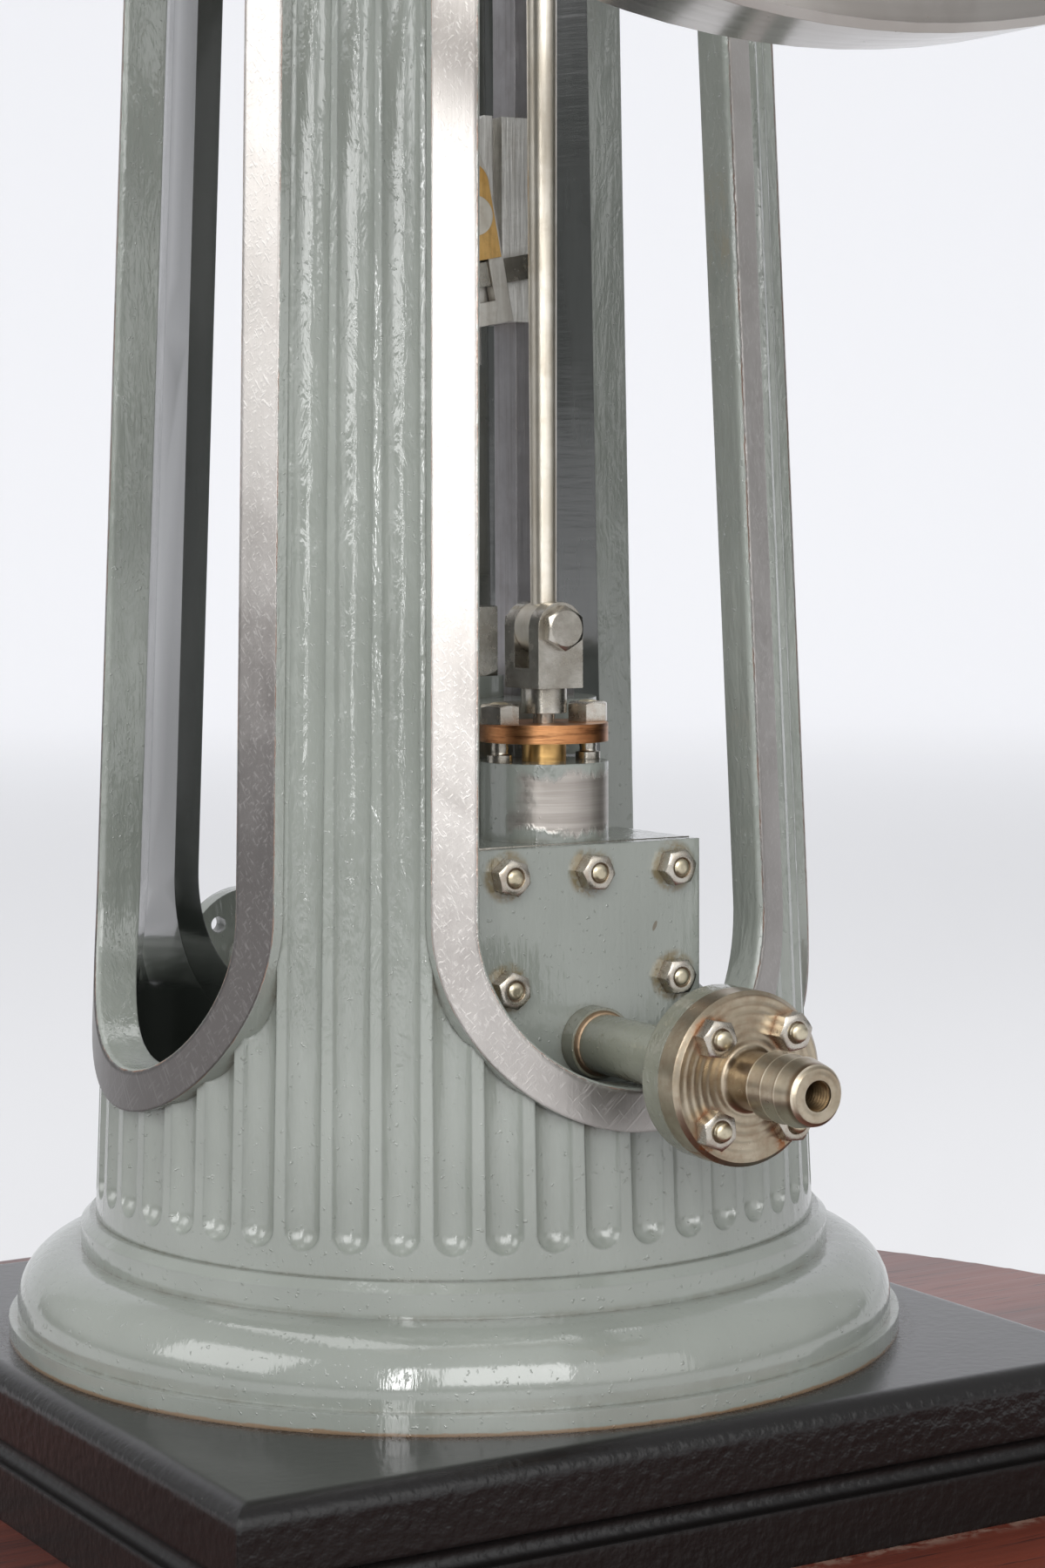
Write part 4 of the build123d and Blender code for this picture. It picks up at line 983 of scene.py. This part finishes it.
class Bench:
    """Modelling bench: small steps in edit mode that the pieces share."""

    @staticmethod
    def clear() -> None:
        """Leaves edit mode and deselects everything."""
        if bpy.context.object and bpy.context.object.mode != "OBJECT":
            bpy.ops.object.mode_set(mode="OBJECT")
        bpy.ops.object.select_all(action="DESELECT")

    @staticmethod
    def take(piece: bpy.types.Object) -> None:
        """Makes a piece the active one and the only one selected."""
        Bench.clear()
        bpy.context.view_layer.objects.active = piece
        piece.select_set(True)

    @staticmethod
    def edit(piece: bpy.types.Object, faces: Callable[[Vector, Vector], bool]) -> None:
        """Enters edit mode on a piece and selects the faces that a test picks.

        Args:
            piece: Object to edit.
            faces: Test on a face's middle and normal.
        """
        Bench.take(piece)
        bpy.ops.object.mode_set(mode="EDIT")
        bpy.ops.mesh.select_mode(type="FACE")
        bpy.ops.mesh.select_all(action="DESELECT")
        mesh = bmesh.from_edit_mesh(piece.data)
        for face in mesh.faces:
            face.select_set(faces(face.calc_center_median(), face.normal))
        bmesh.update_edit_mesh(piece.data)

    @staticmethod
    def step(rise: float, size: float) -> None:
        """Extrudes the selected end upwards and scales it in its plane."""
        bpy.ops.mesh.extrude_region_move(TRANSFORM_OT_translate={"value": (0.0, 0.0, rise)})
        bpy.ops.transform.resize(value=(size, size, 1.0))

    @staticmethod
    def disc(radius: float, corners: int = 24, foot: float = 0.0) -> bpy.types.Object:
        """Adds a filled circle and selects it in edit mode, ready for steps.

        Args:
            radius: Radius of the circle.
            corners: Number of its corners.
            foot: Its height.

        Returns:
            The circle.
        """
        Bench.clear()
        bpy.ops.mesh.primitive_circle_add(
            vertices=corners, radius=radius, fill_type="NGON", location=(0.0, 0.0, foot))
        disc = bpy.context.object
        Bench.edit(disc, lambda middle, normal: True)
        return disc

    @staticmethod
    def thread(turns: int, pitch: float, root: float) -> None:
        """Steps the selected end in and out again, once for each turn of a thread.

        Args:
            turns: Number of turns.
            pitch: Length of a turn.
            root: Size of the thread's root as a share of its crest.
        """
        for _ in range(turns):
            Bench.step(0.5 * pitch, root)
            Bench.step(0.5 * pitch, 1 / root)

    @staticmethod
    def cut(piece: bpy.types.Object, tool: bpy.types.Object, operation: str) -> None:
        """Applies a Boolean with a tool and removes the tool.

        Args:
            piece: Object that stays.
            tool: Object that shapes it.
            operation: Kind of the Boolean.
        """
        Bench.take(piece)
        modifier = piece.modifiers.new("cut", "BOOLEAN")
        modifier.operation = operation
        modifier.object = tool
        modifier.solver = "EXACT"
        bpy.ops.object.modifier_apply(modifier=modifier.name)
        bpy.data.objects.remove(tool)

    @staticmethod
    def join(name: str, pieces: list[bpy.types.Object]) -> bpy.types.Object:
        """Joins pieces into the first one, smooths it by angle and puts its place in its mesh.

        Args:
            name: Name of the joined piece.
            pieces: Objects to join.

        Returns:
            The joined piece.
        """
        Bench.clear()
        for piece in pieces:
            piece.select_set(True)
        bpy.context.view_layer.objects.active = pieces[0]
        if len(pieces) > 1:
            bpy.ops.object.join()
        bpy.ops.object.transform_apply(location=True, rotation=True, scale=True)
        bpy.ops.object.mode_set(mode="EDIT")
        bpy.ops.mesh.select_all(action="SELECT")
        bpy.ops.mesh.normals_make_consistent(inside=False)
        bpy.ops.object.mode_set(mode="OBJECT")
        bpy.ops.object.shade_smooth_by_angle(angle=SMOOTH_BELOW)
        pieces[0].name = name
        return pieces[0]

    @staticmethod
    def copy(pattern: bpy.types.Object, name: str, place: Matrix) -> bpy.types.Object:
        """Copies a piece with its mesh and moves the copy to its place.

        Args:
            pattern: Piece to copy.
            name: Name of the copy.
            place: Move from the pattern to the copy.

        Returns:
            The copy.
        """
        twin = bpy.data.objects.new(name, pattern.data.copy())
        twin.data.transform(place)
        bpy.context.scene.collection.objects.link(twin)
        return twin

    @staticmethod
    def settle(
        piece: bpy.types.Object, finishes: list[bpy.types.Material], body: Body, slot: str,
    ) -> None:
        """Gives a piece its finishes and body, and reports it.

        Args:
            piece: Finished piece.
            finishes: Its materials, for a piece that has none yet.
            body: Body that it rides on.
            slot: Its material slot in the record; not used.
        """
        if not piece.data.materials:
            for finish in finishes:
                piece.data.materials.append(finish)
        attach(piece, body.value)
        log.info("%s rides on %s", piece.name, body.value)


@dataclass
class NutSet:
    """Hexagon nut on a stud, modelled once and copied to where nuts sit."""

    palette: Palette
    across: float = 4.4 * MM
    height: float = 2.3 * MM
    top_share: float = 0.445
    bevel: float = math.radians(60)
    sink: float = 0.28 * MM
    stud_radius: float = 1.15 * MM
    stud_out: float = 0.9 * MM
    pitch: float = 0.36 * MM
    root: float = 0.90
    dome: tuple[tuple[float, float], ...] = ((0.30 * MM, 1.0), (0.18 * MM, 0.84), (0.10 * MM, 0.60))
    dome_inset: float = 0.25
    pattern: bpy.types.Object | None = field(default=None, init=False)

    def _nut(self) -> bpy.types.Object:
        """Hexagonal prism, bevelled above by a cone.

        Returns:
            The nut.
        """
        Bench.clear()
        corner = self.across / 2 / math.cos(math.pi / 6)
        middle = (0.0, 0.0, self.height / 2)
        bpy.ops.mesh.primitive_cylinder_add(
            vertices=6, radius=corner, depth=self.height, location=middle)
        nut = bpy.context.object
        top = self.top_share * self.across
        spread = top + self.height * math.tan(self.bevel)
        bpy.ops.mesh.primitive_cone_add(
            vertices=48, radius1=spread, radius2=top, depth=self.height, location=middle)
        cone = bpy.context.object
        Bench.cut(nut, cone, "INTERSECT")
        top_z = self.height / 2 - 0.05 * MM
        Bench.edit(nut, lambda middle, normal: normal.z > 0.9 and middle.z > top_z)
        bpy.ops.mesh.inset(thickness=top - self.stud_radius - self.sink)
        Bench.step(-1.4 * self.sink, self.stud_radius / (self.stud_radius + self.sink))
        Bench.clear()
        nut.data.materials.append(self.palette.nut)
        return nut

    def _stud(self) -> bpy.types.Object:
        """Threaded stud end with a domed top.

        Returns:
            The stud.
        """
        stud = Bench.disc(self.stud_radius)
        Bench.step(self.height - self.pitch, 1.0)
        Bench.thread(int(self.stud_out / self.pitch), self.pitch, self.root)
        for rise, size in self.dome:
            Bench.step(rise, size)
        bpy.ops.mesh.inset(thickness=self.dome_inset * self.stud_radius)
        Bench.clear()
        stud.data.materials.append(self.palette.stud)
        return stud

    def model(self) -> None:
        """Models the nut and its stud as one pattern that stands on the XY plane."""
        self.pattern = Bench.join("nut_pattern", [self._nut(), self._stud()])

    def put(
        self, name: str, place: Matrix, body: Body = Body.FRAME, size: float = 1.0, turn: float = 0.0,
    ) -> None:
        """Copies the nut to a place.

        Args:
            name: Name of the copy.
            place: Where the nut's underside sits and which way it points.
            body: Body that it rides on.
            size: Scale of the nut.
            turn: Turn about its own axis in degrees.
        """
        spin = Matrix.Rotation(math.radians(turn), 4, "Z") @ Matrix.Scale(size, 4)
        nut = Bench.copy(self.pattern, name, place @ spin)
        Bench.settle(nut, [self.palette.nut, self.palette.stud], body, "nozzle_nickel")

    def drop_pattern(self) -> None:
        """Removes the pattern once all copies are made."""
        bpy.data.objects.remove(self.pattern)


@dataclass
class ChestFittings:
    """Nuts, joint and solder ring on the valve chest."""

    palette: Palette
    nuts: NutSet
    spacing: float = 13.0 * MM
    margin: float = 3.6 * MM
    joint: float = 0.35 * MM
    joint_proud: float = 0.08 * MM
    collar: float = 2.6 * MM
    ring_radius: float = 4.15 * MM
    ring_thick: float = 0.55 * MM
    ring_lip: Triple = (0.94, 0.94, 1.5)
    turns: tuple[float, ...] = (12.0, 25.0, 40.0, 8.0, 33.0, 18.0, 47.0)

    def build(self) -> None:
        """Adds every fitting of the chest."""
        low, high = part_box("chest_cover")
        rows = (high.z - self.margin, (low.z + high.z) / 2, low.z + self.margin)
        turns = iter(self.turns)
        for row, z in enumerate(rows):
            for column in (-1, 1) if row else (-1, 0, 1):
                place = Matrix.Translation((column * self.spacing, low.y, z)) @ FACING_FRONT
                self.nuts.put(f"chest_nut_{row}_{column + 1}", place, turn=next(turns))
        self._joint(low, high)
        self._solder_ring()

    def _joint(self, low: Vector, high: Vector) -> None:
        """Thin packing between the chest and its cover.

        Args:
            low: Lowest corner of the cover.
            high: Highest corner of the cover.
        """
        Bench.clear()
        bpy.ops.mesh.primitive_cube_add(size=1.0)
        packing = bpy.context.object
        proud = 2 * self.joint_proud
        packing.scale = (high.x - low.x + proud, self.joint, high.z - low.z + proud)
        packing.location = (0.0, high.y, (low.z + high.z) / 2)
        Bench.join("chest_joint", [packing])
        Bench.edit(packing, lambda middle, normal: abs(normal.y) > 0.9)
        bpy.ops.mesh.bevel(offset=0.25 * self.joint, segments=2, affect="EDGES")
        Bench.clear()
        Bench.settle(packing, [self.palette.oily], Body.FRAME, "column_paint")

    def _solder_ring(self) -> None:
        """Ring of solder where the inlet pipe leaves its collar."""
        low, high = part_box("steam_inlet")
        place = Vector((0.0, high.y - self.collar, (low.z + high.z) / 2))
        Bench.clear()
        bpy.ops.mesh.primitive_torus_add(
            major_radius=self.ring_radius, minor_radius=self.ring_thick,
            major_segments=64, minor_segments=12)
        ring = bpy.context.object
        Bench.edit(ring, lambda middle, normal: middle.z > 0)
        bpy.ops.transform.resize(value=self.ring_lip)
        Bench.clear()
        ring.data.transform(Matrix.Translation(place) @ FACING_FRONT)
        Bench.join("inlet_solder_ring", [ring])
        Bench.settle(ring, [self.palette.copper], Body.FRAME, "gland_bronze")


@dataclass
class GlandFittings:
    """Studs and nuts of the spindle's gland."""

    palette: Palette
    nuts: NutSet
    place: float = 7.0 * MM
    size: float = 1.16
    nut_turns: tuple[float, float] = (32.0, 24.0)
    collar: float = 1.7 * MM
    collar_height: float = 1.0 * MM
    shoulder: float = 0.1 * MM
    neck: float = 0.72
    stud_turns: int = 5
    root: float = 0.92

    def build(self) -> None:
        """Adds a stud below and a nut above each side of the flange."""
        low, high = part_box("valve_gland")
        chest_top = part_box("valve_chest")[1].z
        middle_y = (low.y + high.y) / 2
        for side, turn in zip((-1, 1), self.nut_turns):
            here = Matrix.Translation((side * self.place, middle_y, high.z))
            self.nuts.put(f"gland_nut_{side + 1}", here, size=self.size, turn=turn)
            foot = Vector((side * self.place, middle_y, chest_top))
            self._stud(f"gland_stud_{side + 1}", foot, high.z)

    def _stud(self, name: str, foot: Vector, top: float) -> None:
        """Stud from the stuffing box to the flange, with a plain collar at its foot.

        Args:
            name: Name of the stud.
            foot: Middle of its foot.
            top: Height of its upper end.
        """
        stud = Bench.disc(self.collar)
        Bench.step(self.collar_height, 1.0)
        Bench.step(self.shoulder, self.neck)
        threaded = top - foot.z - self.collar_height - self.shoulder
        Bench.thread(self.stud_turns, threaded / self.stud_turns, self.root)
        Bench.clear()
        stud.data.transform(Matrix.Translation(foot))
        Bench.join(name, [stud])
        Bench.settle(stud, [self.palette.oily], Body.FRAME, "bright_steel")


@dataclass
class InletFittings:
    """Nuts of the nozzle's flange and the thread in its mouth."""

    nuts: NutSet
    place: float = 5.66 * MM
    flange: float = 3.8 * MM
    bore: float = 1.925 * MM
    pitch: float = 0.55 * MM
    turns: int = 11
    root: float = 0.88
    wall: float = 0.25 * MM
    length_share: float = 0.97
    inset: float = 0.35 * MM
    corners: int = 32

    def build(self) -> None:
        """Adds the four nuts and the thread."""
        low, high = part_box("hose_nozzle")
        face = high.y - self.flange
        middle_z = (low.z + high.z) / 2
        turns = {(-1, 1): 20.0, (1, 1): 38.0, (-1, -1): 5.0, (1, -1): 28.0}
        for (across, up), turn in turns.items():
            here = Matrix.Translation((across * self.place, face, middle_z + up * self.place))
            self.nuts.put(f"flange_nut_{across + 1}_{up + 1}", here @ FACING_FRONT, turn=turn)
        self._thread(Vector((0.0, low.y, middle_z)))

    def _thread(self, mouth: Vector) -> None:
        """Threaded sleeve just inside the nozzle's mouth.

        Args:
            mouth: Middle of the nozzle's outer end.
        """
        length = self.turns * self.pitch
        tap = Bench.disc(self.bore, self.corners, -0.5 * length)
        Bench.thread(self.turns, self.pitch, self.root)
        Bench.clear()
        Bench.join("thread_tap", [tap])
        Bench.clear()
        bpy.ops.mesh.primitive_cylinder_add(
            vertices=self.corners, radius=self.bore + self.wall, depth=self.length_share * length)
        sleeve = bpy.context.object
        Bench.cut(sleeve, tap, "DIFFERENCE")
        inside = mouth + Vector((0.0, 0.5 * length + self.inset, 0.0))
        sleeve.data.transform(Matrix.Translation(inside) @ FACING_FRONT)
        Bench.join("nozzle_thread", [sleeve])
        Bench.settle(sleeve, [self.nuts.palette.thread], Body.FRAME, "nozzle_nickel")


@dataclass
class TopFittings:
    """Nuts of the bearings, the strap and the cylinder cover."""

    nuts: NutSet
    cap_inset: float = 3.2 * MM
    cap_ear: float = 5.0 * MM
    cap_size: float = 1.1
    cap_turn: float = 15.0
    foot_inset: float = 2.9 * MM
    foot_ear: float = 5.0 * MM
    foot_size: float = 0.95
    foot_turn: float = 9.0
    strap_inset: float = 2.3 * MM
    strap_ear: float = 3.6 * MM
    strap_size: float = 0.8
    strap_turn: float = 20.0
    cover_size: float = 0.9
    cover_turn: float = 21.0
    cover_circle: float = 17.6 * MM
    cover_angles: tuple[float, ...] = (40.0, 90.0, 140.0)

    def build(self) -> None:
        """Adds the nuts on both bearings, the strap and the cover."""
        for end in ("front", "rear"):
            self._bearing(end)
        self._strap()
        self._cover()

    def _bearing(self, end: str) -> None:
        """Nuts on the cap's ears and the pedestal's feet.

        Args:
            end: Which of the two bearings.
        """
        low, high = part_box(f"{end}_bearing_cap")
        foot_low, foot_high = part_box(f"{end}_bearing_pedestal")
        middle_y = (low.y + high.y) / 2
        for side in (-1, 1):
            x = side * (high.x - self.cap_inset)
            ear = Matrix.Translation((x, middle_y, low.z + self.cap_ear))
            turn = side * self.cap_turn
            self.nuts.put(f"{end}_cap_nut_{side + 1}", ear, size=self.cap_size, turn=turn)
            x = side * (foot_high.x - self.foot_inset)
            foot = Matrix.Translation((x, middle_y, foot_low.z + self.foot_ear))
            turn = side * self.foot_turn
            self.nuts.put(f"{end}_foot_nut_{side + 1}", foot, size=self.foot_size, turn=turn)

    def _strap(self) -> None:
        """Nuts on the strap's ears."""
        low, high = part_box("upper_strap")
        middle_y = (low.y + high.y) / 2
        for side in (-1, 1):
            x = side * (high.x - self.strap_inset)
            ear = Matrix.Translation((x, middle_y, low.z + self.strap_ear))
            self.nuts.put(f"strap_nut_{side + 1}", ear, Body.STRAP, self.strap_size, self.strap_turn)

    def _cover(self) -> None:
        """Nuts on the rear half of the cylinder cover, behind the guides' feet."""
        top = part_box("guide_feet")[0].z
        for k, degrees in enumerate(self.cover_angles):
            angle = math.radians(degrees)
            x, y = self.cover_circle * math.cos(angle), self.cover_circle * math.sin(angle)
            here = Matrix.Translation((x, y, top))
            self.nuts.put(f"cover_nut_{k}", here, size=self.cover_size, turn=k * self.cover_turn)


@dataclass(frozen=True)
class Softbox:
    """Area lamp that faces the engine, with its power in watts."""

    name: str
    place: Triple
    width: float
    height: float
    power: float


@dataclass(frozen=True)
class Studio:
    """Floor, light and camera."""

    eye: Triple = (-0.22593, -0.39570, 0.15095)
    heading: float = math.radians(30.98)
    tilt_down: float = math.radians(4.30)
    roll: float = math.radians(-0.22)
    lens: float = 73.70
    sensor: float = 36.0
    clip_start: float = 0.01
    floor_colour: Colour = (0.74, 0.74, 0.755)
    floor_rough: float = 0.9
    dark: Colour = (0.0, 0.0, 0.0)
    glow_colour: Colour = (0.95, 0.96, 1.0)
    glow_from: float = 0.6
    glow_to: float = 2.5
    glow: float = 0.33
    floor_half: float = 3.0
    floor_back: float = 2.2
    curve: float = 1.0
    wall: float = 2.0
    sky_colour: Colour = (0.97, 0.98, 1.0)
    sky_low: float = 0.11
    sky_rise: float = 0.50
    side_low: float = 0.76
    side_rise: float = 0.46
    seen_sky: float = 0.86
    aim: Triple = (0.0, 0.0, 0.2)
    lamps: tuple[Softbox, ...] = (
        Softbox("left_softbox", (-1.40, 0.10, 0.90), 0.95, 0.95, 7.6),
        Softbox("camera_softbox", (-0.45, -1.40, 0.80), 0.95, 0.95, 11.5),
        Softbox("front_softbox", (0.40, -1.50, 0.60), 1.0, 1.0, 3.0),
        Softbox("strip_softbox", (-1.00, -1.05, 0.62), 0.11, 1.0, 4.2),
        Softbox("top_softbox", (0.10, 0.25, 1.45), 1.1, 1.1, 7.0),
    )

    def build(self) -> None:
        """Adds the backdrop, the lamps, the world and the camera."""
        scene = bpy.context.scene
        scene.view_settings.view_transform = "Standard"
        self._sweep()
        self._world(scene)
        for box in self.lamps:
            self._lamp(box)
        self._camera(scene)

    def _sweep(self) -> None:
        """Pale floor that curves up into a backdrop behind the engine."""
        Bench.clear()
        bpy.ops.mesh.primitive_plane_add(size=2.0 * self.floor_half)
        sweep = bpy.context.object
        sweep.name = "sweep"
        Bench.edit(sweep, lambda middle, normal: False)
        bpy.ops.mesh.select_mode(type="EDGE")
        mesh = bmesh.from_edit_mesh(sweep.data)
        for corner in mesh.verts:
            corner.co.y = min(corner.co.y, self.floor_back)
        for edge in mesh.edges:
            edge.select_set(all(corner.co.y > self.floor_back - MM for corner in edge.verts))
        bmesh.update_edit_mesh(sweep.data)
        middle = (0.0, self.floor_back, self.curve)
        bpy.ops.mesh.spin(steps=32, angle=math.radians(-90), center=middle, axis=(1.0, 0.0, 0.0))
        bpy.ops.mesh.extrude_region_move(TRANSFORM_OT_translate={"value": (0.0, 0.0, self.wall)})
        Bench.clear()
        sweep.data.transform(Matrix.Rotation(-self.heading, 4, "Z"))
        Bench.join("sweep", [sweep])
        graph = Graph("pale_sweep")
        x, y, _ = graph.axes()
        away = graph.reach(x, y).band(self.glow_from, self.glow_to)
        glow = graph.mix(away, self.dark, self.glow_colour)
        graph.set(Base_Color=self.floor_colour, Roughness=self.floor_rough)
        graph.set(Emission_Color=glow, Emission_Strength=self.glow)
        sweep.data.materials.append(graph.material)

    def _world(self, scene: bpy.types.Scene) -> None:
        """World that is bright above and to the left and dim along the right horizon.

        Args:
            scene: Scene that gets the world.
        """
        world = bpy.data.worlds.new("studio")
        scene.world = world
        world.use_nodes = True
        sky = Tree(world.node_tree, "Generated")
        x, y, z = sky.axes()
        front_left = (x * -0.80 + y * -0.60).band(-0.55, 0.75)
        raised = (z + front_left * 0.03).band(0.02, 0.20)
        lit = (self.sky_low + self.sky_rise * raised) * (self.side_low + self.side_rise * front_left)
        seen = sky.node("LightPath", {}, {}, "Is Camera Ray")
        strength = lit * (1.0 - seen) + self.seen_sky * seen
        light = sky.node("Background", {}, {"Color": self.sky_colour, "Strength": strength})
        sky.new("OutputWorld", {}, {0: light})

    def _lamp(self, box: Softbox) -> None:
        """Hangs a softbox.

        Args:
            box: Place, size and power of the lamp.
        """
        lamp = bpy.data.lights.new(box.name, "AREA")
        lamp.shape = "RECTANGLE"
        lamp.size = box.width
        lamp.size_y = box.height
        lamp.energy = box.power
        holder = bpy.data.objects.new(box.name, lamp)
        holder.location = box.place
        beam = Vector(self.aim) - Vector(box.place)
        holder.rotation_euler = beam.to_track_quat("-Z", "Y").to_euler()
        bpy.context.scene.collection.objects.link(holder)

    def _camera(self, scene: bpy.types.Scene) -> None:
        """Camera at the photograph's place, with the long side of the frame upright.

        Args:
            scene: Scene that gets the camera.
        """
        east, north = math.sin(self.heading), math.cos(self.heading)
        level, drop = math.cos(self.tilt_down), math.sin(self.tilt_down)
        look = Vector((east * level, north * level, -drop))
        right = Vector((north, -east, 0.0))
        up = right.cross(look)
        lean, upright = math.sin(self.roll), math.cos(self.roll)
        side = upright * right + lean * up
        crown = upright * up - lean * right
        camera = bpy.data.cameras.new("photo_camera")
        camera.lens = self.lens
        camera.sensor_width = self.sensor
        camera.clip_start = self.clip_start
        holder = bpy.data.objects.new("photo_camera", camera)
        turn = Matrix((side, crown, -look)).transposed().to_4x4()
        holder.matrix_world = Matrix.Translation(Vector(self.eye)) @ turn
        scene.collection.objects.link(holder)
        scene.camera = holder


class Engine:
    """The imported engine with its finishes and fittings."""

    def __init__(self, palette: Palette) -> None:
        """Keeps the finishes and sets up two kinds of nuts.

        Args:
            palette: All finishes.
        """
        self.palette = palette
        self.nuts = NutSet(palette)
        self.flush_nuts = NutSet(palette, stud_out=0.2 * MM)

    def dress_nodes(self, subparts: Iterable[dict[str, Any]]) -> None:
        """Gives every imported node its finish.

        Args:
            subparts: Nodes and material slots of the record.
        """
        slots = self.palette.for_slots()
        single = self.palette.for_nodes()
        for part in subparts:
            node = frame["nodes"][part["node"]]
            finish = single.get(part["node"], slots[part["material_slot"]])
            node.data.materials.clear()
            node.data.materials.append(finish)
            log.info("%s wears %s", part["node"], finish.name)

    def build(self) -> None:
        """Models the fittings and copies the nuts."""
        for nuts in (self.nuts, self.flush_nuts):
            nuts.model()
        ChestFittings(self.palette, self.flush_nuts).build()
        GlandFittings(self.palette, self.flush_nuts).build()
        InletFittings(self.nuts).build()
        TopFittings(self.nuts).build()
        for nuts in (self.nuts, self.flush_nuts):
            nuts.drop_pattern()


def main() -> None:
    """Dresses the engine and sets the studio."""
    logging.basicConfig(level=logging.INFO)
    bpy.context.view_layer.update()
    engine = Engine(Palette())
    engine.dress_nodes(frame["record"]["subparts"])
    engine.build()
    Studio().build()


if __name__ == "__main__":
    main()
